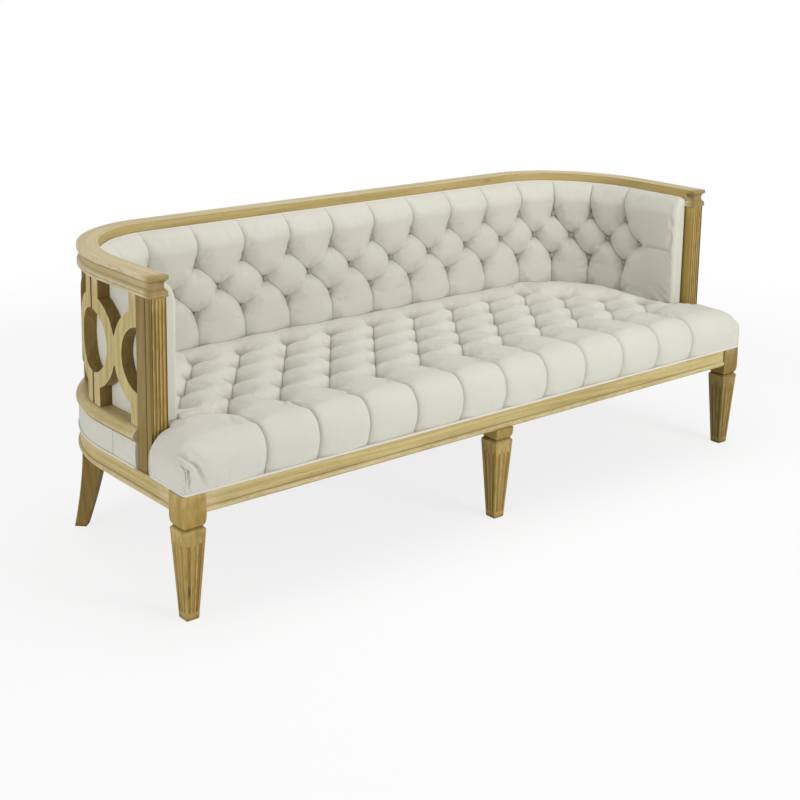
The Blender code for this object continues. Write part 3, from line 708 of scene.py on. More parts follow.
@dataclass(frozen=True)
class OakFinish:
    """Limed oak with a thin satin finish; grain follows each member's own coordinates."""

    name: str = "limed oak"
    light: Rgba = (0.59, 0.485, 0.220, 1.0)
    dark: Rgba = (0.37, 0.275, 0.100, 1.0)
    pore: Rgba = (0.13, 0.080, 0.026, 1.0)
    worn: Rgba = (0.66, 0.56, 0.36, 1.0)
    # tint multiplied over chosen sides: painted shade, on the splats' cut edges partly a real
    # stain
    glaze: Rgba = (0.46, 0.38, 0.25, 1.0)
    figure: float = 0.42
    knots: float = 0.7
    wear: float = 0.75
    relief: float = 0.0004

    def material(self, groups: dict[str, Tree]) -> Material:
        """Makes the material from the shared groups.

        Args:
            groups: the shared node groups by name.

        Returns:
            The material.
        """
        material, n, shader = new_material(self.name)
        place = n.attribute("grain", "Vector")
        wood = n.add("ShaderNodeGroup", node_tree=groups["wood"])
        n.fill(wood, {"Place": place, "Light": self.light, "Dark": self.dark, "Pore": self.pore})
        n.fill(wood, {"Figure": self.figure, "Knots": self.knots})
        wear = n.add("ShaderNodeGroup", node_tree=groups["wear"])
        n.fill(wear, {"Color": wood.outputs["Color"], "Place": place, "Worn": self.worn})
        # the pore colour doubles as the stain and the painted shade in hollows
        n.fill(wear, {"Wear": n.attribute("wear"), "Stain": self.pore, "Amount": self.wear})
        # which sides get the tint, and the tint: painted shade, partly stain on the splats' cut
        # edges
        n.fill(wear, {"Glazed": n.attribute("glazed"), "Glaze": self.glaze})
        n.fill(shader, {
            "Base Color": wear.outputs["Color"],
            "Roughness": wood.outputs["Roughness"],
            "Normal": n.bump(wood.outputs["Height"], self.relief, 0.5),
            "Specular IOR Level": 0.22,
        })
        return material


@dataclass(frozen=True)
class BoardFinish:
    """Raw plywood for the hidden frame, in the object's own coordinates."""

    name: str = "raw plywood"
    light: Rgba = (0.66, 0.52, 0.34, 1.0)
    dark: Rgba = (0.50, 0.36, 0.20, 1.0)
    pore: Rgba = (0.30, 0.20, 0.10, 1.0)
    figure: float = 0.5
    roughness: float = 0.7

    def material(self, groups: dict[str, Tree]) -> Material:
        """Makes the material from the shared groups.

        Args:
            groups: the shared node groups by name.

        Returns:
            The material.
        """
        material, n, shader = new_material(self.name)
        wood = n.add("ShaderNodeGroup", node_tree=groups["wood"])
        n.fill(wood, {"Place": n.own_place(), "Light": self.light, "Dark": self.dark})
        n.fill(wood, {"Pore": self.pore, "Figure": self.figure, "Knots": 0.0})
        n.fill(shader, {"Base Color": wood.outputs["Color"], "Roughness": self.roughness})
        return material


@dataclass(frozen=True)
class ClothFinish:
    """A plain-woven cover, or a lining with its own thread count and colours."""

    name: str = "off-white linen"
    light: Rgba = (0.700, 0.694, 0.615, 1.0)
    dark: Rgba = (0.58, 0.573, 0.490, 1.0)
    # the colour of the painted shade laid into pleats, button pits, seams and along the seat's
    # borders
    shade: Rgba = (0.17, 0.155, 0.115, 1.0)
    threads: float = 1200.0
    slubs: float = 0.45
    relief: float = 0.00025
    roughness: float = 0.92
    sheen: float = 0.08
    attribute: str = "cloth"

    def material(self, groups: dict[str, Tree]) -> Material:
        """Makes the material from the shared groups.

        Args:
            groups: the shared node groups by name.

        Returns:
            The material.
        """
        material, n, shader = new_material(self.name)
        place = n.attribute(self.attribute, "Vector") if self.attribute else n.own_place()
        weave = n.add("ShaderNodeGroup", node_tree=groups["weave"])
        n.fill(weave, {"Place": place, "Light": self.light, "Dark": self.dark})
        n.fill(weave, {"Threads": self.threads, "Slubs": self.slubs, "Shade": self.shade})
        # the fold attribute carries the painted shade
        n.fill(weave, {"Fold": n.attribute("fold")})
        n.fill(shader, {
            "Base Color": weave.outputs["Color"],
            "Normal": n.bump(weave.outputs["Height"], self.relief, 0.6),
            "Roughness": self.roughness,
            "Sheen Weight": self.sheen,
            "Sheen Roughness": 0.5,
            "Specular IOR Level": 0.2,
        })
        return material


@dataclass(frozen=True)
class NylonFinish:
    """Moulded glides: a dark grey with a faint mottle."""

    name: str = "moulded nylon"
    light: Rgba = (0.22, 0.21, 0.20, 1.0)
    dark: Rgba = (0.14, 0.135, 0.13, 1.0)
    roughness: float = 0.5

    def material(self) -> Material:
        """Makes the material.

        Returns:
            The material.
        """
        material, n, shader = new_material(self.name)
        color = n.mix(n.noise(n.own_place(), (160.0, 160.0, 160.0)), self.light, self.dark)
        n.fill(shader, {"Base Color": color, "Roughness": self.roughness})
        return material


class Finishes:
    """Every material of the sofa, made once."""

    def __init__(self) -> None:
        """Builds the shared groups and the materials."""
        groups = {"wood": wood_group(), "wear": wear_group(), "weave": weave_group()}
        self.oak = OakFinish().material(groups)
        self.rail_oak = OakFinish(
            name="pale limed oak",
            light=(0.585, 0.490, 0.268, 1.0),
            dark=(0.43, 0.335, 0.155, 1.0),
            worn=(0.69, 0.62, 0.46, 1.0),
            # painted shade tint on the cap rail's inner face and arm ends
            glaze=(0.82, 0.75, 0.54, 1.0),
            knots=0.3,
        ).material(groups)
        # a browner oak for the posts and two front legs: partly a darker stain, partly painted
        # shade
        self.stained_and_shaded_oak = OakFinish(
            name="brown limed oak with painted shade",
            light=(0.430, 0.298, 0.078, 1.0),
            dark=(0.245, 0.155, 0.034, 1.0),
            pore=(0.07, 0.040, 0.014, 1.0),
            worn=(0.54, 0.42, 0.18, 1.0),
            # bluish painted shade tint on the posts' outer sides
            glaze=(0.70, 0.72, 0.90, 1.0),
        ).material(groups)
        # a copy of the brown oak about a third darker: painted shade for the legs that stand in
        # shade
        self.shaded_oak = OakFinish(
            name="limed oak darkened as painted shade",
            light=(0.290, 0.200, 0.052, 1.0),
            dark=(0.175, 0.107, 0.022, 1.0),
            pore=(0.05, 0.030, 0.011, 1.0),
            worn=(0.40, 0.31, 0.13, 1.0),
        ).material(groups)
        self.plywood = BoardFinish().material(groups)
        self.linen = ClothFinish().material(groups)
        self.piping = ClothFinish(
            name="piping linen", light=(0.80, 0.775, 0.70, 1.0), dark=(0.66, 0.63, 0.55, 1.0)
        ).material(groups)
        self.lining = ClothFinish(
            name="grey lining",
            light=(0.075, 0.075, 0.075, 1.0),
            dark=(0.045, 0.045, 0.045, 1.0),
            threads=700.0,
            attribute="",
        ).material(groups)
        self.nylon = NylonFinish().material()

    def dress(self, obj: Obj, material: Material, *nodes: str, slot: Slot = Slot.OAK) -> Obj:
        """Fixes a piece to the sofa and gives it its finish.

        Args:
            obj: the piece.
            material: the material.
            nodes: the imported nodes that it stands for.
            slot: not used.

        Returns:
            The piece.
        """
        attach(obj, "root")
        if nodes:
            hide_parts(*nodes)
        obj.data.materials.append(material)
        LOG.info("%s: %s, %d faces", obj.name, material.name, len(obj.data.polygons))
        return obj

    def cover(self, obj: Obj, *nodes: str) -> Obj:
        """Gives a piece the sofa's linen, or the piping's if it is named a piping."""
        material = self.piping if "piping" in obj.name else self.linen
        return self.dress(obj, material, *nodes, slot=Slot.LINEN)


# Wooden pieces


@dataclass
class CapRail:
    """The top rail in three lengths; its moulding returns round each arm's end."""

    plan: PlanLine
    width: float = 0.054
    height: float = 0.052
    slab: float = 0.011
    cove: float = 0.008
    ledge: float = 0.025
    overhang: float = 0.004
    setback: float = 0.029
    softness: float = 0.0012
    rubbed: float = 0.003
    # negative wear over each arm's end face: painted shade
    end_shade: float = -0.60
    mould_shares: Shares = (
        (0.45, 0.02), (0.80, 0.09), (0.96, 0.20), (1.00, 0.34), (0.94, 0.45), (0.82, 0.52),
        (0.60, 0.57), (0.36, 0.61), (0.16, 0.66), (0.07, 0.71), (0.10, 0.75), (0.22, 0.77),
        (0.16, 0.82), (0.05, 0.88), (0.12, 0.95), (0.45, 1.00),
    )

    def levels(self) -> Outline:
        """The outer side from the top down, as depth of recess and height.

        Returns:
            The side's points.
        """
        top = high("cap_rail_back").z
        below = top - self.slab
        mould = self.height - self.slab
        edge = self.softness
        slab = [(edge + self.rubbed, top), (edge, top), (edge / 3, top - edge / 3)]
        slab += [(0.0, top - edge), (0.0, below + edge)]
        slab += [(edge / 3, below + edge / 3), (edge, below)]
        shares = self.mould_shares
        return slab + [(self.cove * deep, below - mould * down) for deep, down in shares]

    def plain_side(self) -> Outline:
        """The inner side over the pads, with as many points as the outer side.

        Returns:
            The side's points, as inset and height.
        """
        top = high("cap_rail_back").z
        edge = self.softness
        ledge = top - self.ledge
        rebate = self.width - self.cove
        wide = self.width
        side = [(wide - edge - self.rubbed, top), (wide - edge, top)]
        side += [(wide - edge / 3, top - edge / 3), (wide, top - edge)]
        side += [(wide, ledge + edge), (wide - edge, ledge), (rebate, ledge)]
        below = len(self.levels()) - len(side)
        drop = ledge - (top - self.height)
        return side + [(rebate, ledge - drop * (step + 1) / below) for step in range(below)]

    def ring(self, station: float, inner: Outline, end: float = 0.0) -> Array:
        """The rail's section at a station.

        Args:
            station: where along the plan line.
            inner: the inner side from the top down.
            end: 1 where the moulding returns across the arm's end.

        Returns:
            The section's points.
        """
        outer = self.levels()
        inset, height = np.array(outer + inner[::-1]).T
        recess = np.array([depth for depth, _ in outer + outer[::-1]])
        points = self.plan.at(np.full(len(inset), station), inset, height)
        points[:, 1] += recess * end
        return points

    def length(self, name: str, rings: list[Array], reach: Array) -> Obj:
        """Makes one length of rail, its ends filled by strips between outer and inner side.

        Args:
            name: the length's name.
            rings: its sections.
            reach: the station of each.

        Returns:
            The length of rail.
        """
        points = np.array(rings)
        count, around = points.shape[:2]
        ends = []
        for first in (0, (count - 1) * around):
            last = first + around - 1
            ends.append((first, first + 1, first + 2, last - 2, last - 1, last))
            for step in range(2, around // 2 - 1):
                near, far = first + step, last - step
                ends.append((near, near + 1, far - 1, far))
        obj = skin(name, points, ends)
        inset, height = np.array(self.levels() + self.plain_side()[::-1]).T
        finish_wood(obj, points_of(reach[:, None], inset, height), 30.0)
        wear = stored_wear(obj)
        wear[:around], wear[-around:] = wear[around : 2 * around], wear[-2 * around : -around]
        obj.data.attributes["wear"].data.foreach_set("value", wear)
        # the inner face is tinted as painted shade
        sides = np.repeat(inset[None] > self.width - self.softness / 2, count, axis=0)
        if abs(reach[-1]) > self.plan.centre_x:
            # each arm's end face is tinted and darkened as painted shade
            sides[-1] = True
            limit_wear(obj, np.arange(count * around) >= (count - 1) * around, self.end_shade)
        mark_side_shade_and_stain(obj, sides.ravel())
        return obj

    def build(self, finishes: Finishes) -> list[Obj]:
        """Makes the back length and both arms with their corners.

        Args:
            finishes: the materials.

        Returns:
            The three lengths.
        """
        plan, plain = self.plan, self.plain_side()
        joint = plan.centre_x - FIT / 2
        stations = np.linspace(-joint, joint, 40)
        lengths = {"back": ([self.ring(s, plain) for s in stations], stations)}
        moulded = [(self.width - depth, z) for depth, z in self.levels()]
        front = low("arm_post_right").y
        plain_end = plan.station_at(front + self.setback - FIT)
        bend = plan.stations(joint + FIT, plain_end)
        bend = np.append(bend, [plain_end + FIT, plan.station_at(front - self.overhang)])
        for side in Side:
            reach = bend * side.value
            rings = [self.ring(s, plain) for s in reach[:-2]]
            rings += [self.ring(reach[-2], moulded), self.ring(reach[-1], moulded, end=1.0)]
            lengths[side.name.lower()] = rings, reach
        return [
            finishes.dress(
                self.length(f"top_rail_{name}", *parts), finishes.rail_oak, f"cap_rail_{name}"
            )
            for name, parts in lengths.items()
        ]


@dataclass
class ArmPosts:
    """The fluted posts at the arms' ends."""

    flutes: int = 5
    depth: float = 0.0032
    land_share: float = 0.26
    steps: int = 7
    groove_shares: tuple[float, float] = (0.29, 0.37)
    softness: float = 0.0015

    def outline(self, side: Side) -> Outline:
        """One post in plan, with flutes across its front and a groove down its outer side.

        Args:
            side: the end at which the post stands.

        Returns:
            The post's outline.
        """
        start, end = low("arm_post_right"), high("arm_post_right")
        pitch = (end.x - start.x) / self.flutes
        points: Outline = []
        for flute in range(self.flutes):
            centre = start.x + pitch * (flute + 0.5)
            half = pitch * (1 - self.land_share) / 2
            for share in np.linspace(-1.0, 1.0, self.steps):
                sunk = self.depth * math.sqrt(1.0 - share**2)
                points.append((centre + half * share, start.y + sunk))
        edge = self.softness
        back = end.y - start.y
        first, last = (start.y + back * share for share in self.groove_shares)
        points += [(end.x - edge, start.y), (end.x, start.y + edge), (end.x, first)]
        points += [(end.x - self.depth, first + edge), (end.x - self.depth, last - edge)]
        points += [(end.x, last), (end.x, end.y), (start.x, end.y)]
        points += [(start.x, start.y + edge), (start.x + edge, start.y)]
        return [(x * side.value, y) for x, y in points]

    def build(self, finishes: Finishes) -> list[Obj]:
        """Makes both posts with their grain upright.

        Args:
            finishes: the materials.

        Returns:
            The posts.
        """
        made = []
        bottom, top = low("arm_post_right").z, high("arm_post_right").z
        for side in Side:
            name = side.name.lower()
            x, y = np.array(bordered(self.outline(side))).T
            levels = np.linspace(bottom, top, 12)
            rings = points_of(x, y, levels[:, None])
            obj = skin(f"fluted_post_{name}", rings)
            finish_wood(obj, rings[..., [2, 0, 1]], 34.0, full=50.0)
            # the outer side and its groove are tinted as painted shade
            outer = np.abs(rings[..., 0]) > high("arm_post_right").x - self.depth - FIT
            mark_side_shade_and_stain(obj, outer.ravel())
            made.append(finishes.dress(obj, finishes.stained_and_shaded_oak, f"arm_post_{name}"))
        return made


@dataclass
class Fretwork:
    """Twelve splats: each carries two facing half rings on bars that reach both rails."""

    plan: PlanLine
    count: int = 12
    inset: float = 0.008
    thickness: float = 0.0335
    gap: float = 0.011
    bar: float = 0.034
    lap: float = 0.0036
    ring_width: float = 0.0385
    valley: float = 0.003
    softness: float = 0.0013
    cut: float = 0.007
    grain_step: float = 0.37

    @property
    def reach(self) -> float:
        """The station of the posts' rear faces, where the row of splats ends."""
        return self.plan.station_at(high("arm_post_right").y)

    @property
    def pitch(self) -> float:
        """The distance from one splat's middle to the next."""
        return 2 * self.reach / self.count

    def quarter(self) -> Outline:
        """The lower left quarter of a splat, from its half ring's hole to the valley.

        Returns:
            The quarter's points.
        """
        axis = -self.pitch / 2
        outer = self.pitch / 2 + self.lap
        hole = outer - self.ring_width
        near, far = self.gap / 2, self.gap / 2 + self.bar
        foot = -(low("cap_rail_back").z - high("lower_rail_back").z) / 2 + FIT
        points: Outline = []
        for angle in np.linspace(0.0, -math.acos(near / hole), 20):
            points.append((axis + hole * math.cos(angle), hole * math.sin(angle)))
        points += [(axis + near, foot), (axis + far, foot)]
        drop = math.sqrt((outer + self.valley) ** 2 - axis**2)
        for angle in np.linspace(-math.acos(far / outer), -math.atan2(drop, -axis), 22):
            points.append((axis + outer * math.cos(angle), outer * math.sin(angle)))
        return points + [(0.0, -drop + self.valley)]

    def outline(self) -> Array:
        """The whole splat from four mirrored quarters.

        Returns:
            The points of the closed outline.
        """
        quarter = np.array(self.quarter())
        half = np.concatenate([quarter, quarter[-2::-1] * (-1.0, 1.0)])
        return np.concatenate([half, -half[1:-1]])

    def flat(self) -> bpy.types.Mesh:
        """One splat lying flat, with softened edges, cut across so that it can bend.

        Returns:
            The flat splat's mesh.
        """
        curve = bpy.data.curves.new("splat", "CURVE")
        curve.dimensions = "2D"
        curve.fill_mode = "BOTH"
        curve.extrude = self.thickness / 2 - self.softness
        curve.bevel_depth = self.softness
        curve.bevel_resolution = 1
        curve.offset = -self.softness
        spline = curve.splines.new("POLY")
        points = self.outline()
        spline.points.add(len(points) - 1)
        for point, (x, y) in zip(spline.points, points):
            point.co = (x, y, 0, 1)
        spline.use_cyclic_u = True
        guide = bpy.data.objects.new("splat", curve)
        bpy.context.scene.collection.objects.link(guide)
        depsgraph = bpy.context.evaluated_depsgraph_get()
        mesh = bpy.data.meshes.new_from_object(guide.evaluated_get(depsgraph))
        bpy.data.objects.remove(guide)
        with edited(mesh) as bm:
            bmesh.ops.remove_doubles(bm, verts=bm.verts[:], dist=FIT / 10)
            for x in np.arange(-self.pitch / 2 + self.cut, self.pitch / 2, self.cut):
                geometry = bm.verts[:] + bm.edges[:] + bm.faces[:]
                bmesh.ops.bisect_plane(bm, geom=geometry, plane_co=(x, 0, 0), plane_no=(1, 0, 0))
        return mesh

    def build(self, finishes: Finishes) -> list[Obj]:
        """Bends copies of the flat splat round the plan line.

        Args:
            finishes: the materials.

        Returns:
            The splats.
        """
        flat = self.flat()
        middle_z = (low("cap_rail_back").z + high("lower_rail_back").z) / 2
        depth = self.inset + self.thickness / 2
        made = []
        for number in range(self.count):
            obj = bpy.data.objects.new(f"fret_splat_{number + 1:02d}", flat.copy())
            bpy.context.scene.collection.objects.link(obj)
            place = np.array([vert.co for vert in flat.vertices])
            station = -self.reach + self.pitch * (number + 0.5) + place[:, 0]
            bent = self.plan.at(station, depth - place[:, 2], middle_z + place[:, 1])
            obj.data.vertices.foreach_set("co", bent.ravel())
            finish_wood(obj, place[:, [1, 0, 2]] + (self.grain_step * number, 0.0, 0.0), 34.0)
            # the cut edges are tinted darker: partly a real stain, partly painted shade
            mark_side_shade_and_stain(obj, np.abs(place[:, 2]) < self.thickness / 2 - self.softness / 2)
            made.append(finishes.dress(obj, finishes.oak, f"splat_{number + 1:02d}"))
        return made


@dataclass
class BaseRails:
    """The lower rail under the fretwork and the apron that carries the sofa."""

    plan: PlanLine
    inner: float = 0.046
    splat_inset: float = 0.008
    shelf_softness: float = 0.0016
    apron_setback: float = 0.005
    side_setback: float = 0.008
    apron_thickness: float = 0.030
    bead: float = 0.014
    shelf_shares: Shares = (
        (1.00, 0.00), (0.72, 0.05), (0.45, 0.17), (0.24, 0.32), (0.08, 0.47), (0.00, 0.58),
        (0.00, 0.66), (0.06, 0.73), (0.20, 0.78), (0.26, 0.80), (0.34, 0.88), (0.48, 0.94),
        (0.66, 1.00),
    )
    apron_shares: Shares = (
        (0.00, 1.06), (0.30, 1.02), (0.62, 0.93), (0.90, 0.77), (1.00, 0.57), (0.90, 0.38),
        (0.62, 0.24), (0.20, 0.17), (0.00, 0.13), (0.00, 0.00),
    )

    def shelf_profile(self) -> Outline:
        """The lower rail with its bead and cove, as inset and height.

        Returns:
            The profile's points.
        """
        top, bottom = high("lower_rail_back").z, low("lower_rail_back").z
        reach = high("lower_rail_right").x - self.plan.half_span
        slope = self.splat_inset + reach
        shares = self.shelf_shares
        outer = [(slope * out - reach, top - (top - bottom) * down) for out, down in shares]
        return outer + [(self.inner, bottom), (self.inner, top)]

    def apron_profile(self, setback: float) -> Outline:
        """The apron with the bead along its lower edge, as inset and height.

        Args:
            setback: the inset of its upper face.

        Returns:
            The profile's points.
        """
        top, bottom = high("apron_front").z, low("apron_front").z
        soft = self.shelf_softness
        outer = [(setback + soft, top), (setback, top - soft)]
        outer += [
            (setback - self.apron_setback * out, bottom + self.bead * up)
            for out, up in self.apron_shares
        ]
        inner = setback + self.apron_thickness
        return outer + [(inner, bottom), (inner, top)]

    def build(self, finishes: Finishes) -> list[Obj]:
        """Makes three lengths of each rail, and the front apron.

        Args:
            finishes: the materials.

        Returns:
            The rails.
        """
        plan = self.plan
        joint = plan.centre_x + FIT / 2
        shelf_end = plan.station_at(high("arm_post_right").y + FIT)
        apron_end = plan.station_at(low("apron_right").y)
        sides = self.apron_profile(self.apron_setback - self.side_setback)
        made = []
        for stem, profile, end, tone in (
            ("lower_rail", self.shelf_profile(), shelf_end, 0.31),
            ("apron", sides, apron_end, 0.53),
        ):
            spans = {
                "back": plan.stations(FIT - joint, joint - FIT, 0.04),
                "right": plan.stations(joint, end),
                "left": -plan.stations(joint, end),
            }
            for name, stations in spans.items():
                rail = Rail(f"oak_{stem}_{name}", profile, stations, plan.at, tone).build()
                made.append(finishes.dress(rail, finishes.oak, f"{stem}_{name}"))
        front = low("apron_front").y
        ends = low("apron_front").x, high("apron_front").x

        def across(x: Array, inset: Array, z: Array) -> Array:
            """Places the straight front apron."""
            return points_of(x, front + inset, z)

        profile = self.apron_profile(self.apron_setback)
        rail = Rail("oak_apron_front", profile, np.linspace(*ends, 30), across, 0.71).build()
        return made + [finishes.dress(rail, finishes.oak, "apron_front")]


@dataclass
class Legs:
    """Three fluted and tapered front legs, and three curved rear legs."""

    neck_in: float = 0.006
    neck_drop: float = 0.028
    ovolo_drop: float = 0.001
    shoulder_drop: float = 0.036
    shoulder_in: float = 0.001
    foot: float = 0.0345
    swell: float = 0.0026
    stand: float = 0.0008
    recess: float = 0.0125
    # height up to which each leg's foot is darkened
    dark_foot_height: float = 0.0036
    foot_darkening: float = -0.7
    chamfer: float = 0.002
    softness: float = 0.0022
    flute_top: float = 0.190
    flute_foot: float = 0.016
    flute_depth: float = 0.0026
    flute_shares: tuple[Triple, ...] = (
        (-0.60, 0.20, 1.0), (0.0, 0.22, 0.7), (0.60, 0.20, 1.0)
    )
    rear_top: float = 0.060
    rear_foot: float = 0.032
    rear_splay: float = 0.044
    middle_splay: float = 0.024
    curve: float = 1.6

    def ring(
        self, centre: Vector, z: float, half: float, fluted: float = 0.0, turn: float = 0.0
    ) -> Array:
        """A square section with softened corners and flutes.

        Args:
            centre: its middle in plan.
            z: its height.
            half: half its width.
            fluted: how deep the flutes are, from 0 to 1.
            turn: its turn in plan.

        Returns:
            The points.
        """
        flat = half - self.softness
        share = np.linspace(-1.0, 1.0, 25)
        sunk = np.zeros_like(share)
        for middle, width, depth in self.flute_shares:
            hollow = np.sqrt(np.maximum(1.0 - ((share - middle) / width) ** 2, 0.0))
            sunk += self.flute_depth * depth * fluted * hollow
        corner = np.linspace(0.0, math.pi / 2, 5)[1:-1]
        x = np.concatenate([half - sunk, flat + self.softness * np.cos(corner)])
        y = np.concatenate([flat * share, flat + self.softness * np.sin(corner)])
        angle = turn + math.pi / 2 * np.arange(4)[:, None]
        spun_x = centre.x + x * np.cos(angle) - y * np.sin(angle)
        spun_y = centre.y + x * np.sin(angle) + y * np.cos(angle)
        return points_of(spun_x, spun_y, z).reshape(-1, 3)

    def front_levels(self, name: str) -> list[Triple]:
        """A front leg from the top down, as height, half width and depth of flutes.

        Args:
            name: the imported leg.

        Returns:
            The levels.
        """
        start, end = low(name), high(name)
        apron = low("apron_front").z
        half = (end.x - start.x) / 2 + self.swell
        levels = [(end.z, half, 0.0)]
        if end.z > apron:
            levels.append((apron, half, 0.0))
        ovolo, neck = apron - self.ovolo_drop, apron - self.neck_drop
        for share in np.linspace(0.0, 1.0, 8):
            inward = self.neck_in * (1.0 - math.sqrt(1.0 - share**2))
            levels.append((ovolo - (ovolo - neck) * share, half - inward, 0.0))
        shoulder = apron - self.shoulder_drop
        top = half - self.shoulder_in
        levels.append((neck - (neck - shoulder) / 3, half - self.neck_in, 0.0))
        sole = self.stand + self.chamfer
        foot = self.foot / 2

        def shaft(z: float) -> float:
            """Half the shaft's width at a height."""
            return foot + (top - foot) * (z - sole) / (shoulder - sole)

        levels.append((shoulder, shaft(shoulder), 0.0))
        for share in np.linspace(0.0, 1.0, 6):
            z = self.flute_top - self.flute_depth * 3 * share
            levels.append((z, shaft(z), math.sin(math.pi / 2 * share)))
        curl, last = self.flute_top - self.flute_depth * 3, self.flute_foot + self.flute_depth * 2
        for share in np.linspace(0.0, 1.0, 10)[1:]:
            z = curl + (last - curl) * share
            levels.append((z, shaft(z), 1.0))
        return levels + [
            (self.flute_foot, shaft(self.flute_foot), 0.0),
            (sole, foot, 0.0),
            (self.stand, foot - self.chamfer, 0.0),
            (self.stand, self.recess, 0.0),
            (start.z, self.recess, 0.0),
        ]

    def front_leg(self, name: str) -> Obj:
        """One front leg with its block.

        Args:
            name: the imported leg.

        Returns:
            The leg.
        """
        centre = (low(name) + high(name)) / 2
        rings = [self.ring(centre, *level) for level in self.front_levels(name)]
        return self.over(name.replace("front", "tapered"), rings)

    def rear_leg(self, name: str, across: float, back: float, turn: float) -> Obj:
        """One rear leg, which sweeps outwards on its way down.

        Args:
            name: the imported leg.
            across: how far it sweeps across the sofa.
            back: how far it sweeps back.
            turn: its turn in plan.

        Returns:
            The leg.
        """
        top, bottom = high(name).z, low(name).z
        glide = name.replace("leg", "glide")
        foot = (low(glide) + high(glide)) / 2
        levels = [
            (share, top + (self.stand - top) * share,
             (self.rear_top + (self.rear_foot - self.rear_top) * share) / 2)
            for share in np.linspace(0.0, 1.0, 26)
        ]
        levels += [(1.0, self.stand, self.recess), (1.0, bottom, self.recess)]
        rings = []
        for share, z, half in levels:
            centre = foot + Vector((across, back, 0.0)) * (share**self.curve - 1.0)
            rings.append(self.ring(centre, z, half, turn=turn))
        return self.over(name.replace("rear", "curved"), rings)

    def over(self, label: str, rings: list[Array]) -> Obj:
        """Makes a leg over its rings, with upright grain of its own and a darker foot.

        Args:
            label: the leg's name.
            rings: its sections from the top.

        Returns:
            The leg.
        """
        points = np.array(rings)
        obj = skin(label, points)
        grain = points[..., [2, 0, 1]] * np.array([1.0, 0.6, 1.0]) + np.array([0.0, 0.0, 0.21])
        finish_wood(obj, grain, 32.0)
        # the lowest few millimetres of each leg are darkened through negative wear
        limit_wear(obj, points[..., 2].ravel() < self.dark_foot_height, self.foot_darkening)
        return obj

    def build(self, finishes: Finishes) -> list[Obj]:
        """Makes all six legs.

        Args:
            finishes: the materials.

        Returns:
            The legs.
        """
        splay = self.rear_splay / math.sqrt(2)
        names = [f"front_leg_{place}" for place in ("left", "middle", "right")]
        legs = {name: self.front_leg(name) for name in names}
        for place, across, back, turn in (
            ("left", -splay, splay, math.pi / 4),
            ("middle", 0.0, self.middle_splay, 0.0),
            ("right", splay, splay, math.pi / 4),
        ):
            name = f"rear_leg_{place}"
            legs[name] = self.rear_leg(name, across, back, turn)
        # the left and middle front legs take the brown oak; the others take its darker copy,
        # painted shade for legs in shade
        brown = names[:2]
        return [
            finishes.dress(obj, finishes.stained_and_shaded_oak if name in brown else finishes.shaded_oak, name)
            for name, obj in legs.items()
        ]


# Upholstery


def surface_normals(points: Array) -> Array:
    """Unit normals of a grid of points of shape (rows, columns, 3)."""
    normal = np.cross(np.gradient(points, axis=1), np.gradient(points, axis=0))
    return normal / np.maximum(np.linalg.norm(normal, axis=-1, keepdims=True), 1e-9)


def stretch_over(fixed: Array, depth: Array, steps: Array, reach: float, rounds: int) -> Array:
    """How deep a cover lies that is drawn down at fixed places over foam that pushes it back.

    Args:
        fixed: where the cover is held, as a grid of rows and columns.
        depth: its depth there.
        steps: the grid's row and column spacing.
        reach: how far a pull is felt.
        rounds: how many times the grid is relaxed.

    Returns:
        The depth everywhere.
    """
    rows, columns = 1 / steps[0] ** 2, 1 / steps[1] ** 2
    total = 2 * rows + 2 * columns + 1 / reach**2
    sunk = depth.copy()
    for _ in range(rounds):
        edge = np.pad(sunk, 1, mode="edge")
        pulled = rows * (edge[:-2, 1:-1] + edge[2:, 1:-1])
        pulled += columns * (edge[1:-1, :-2] + edge[1:-1, 2:])
        sunk = np.where(fixed, depth, pulled / total)
    return sunk


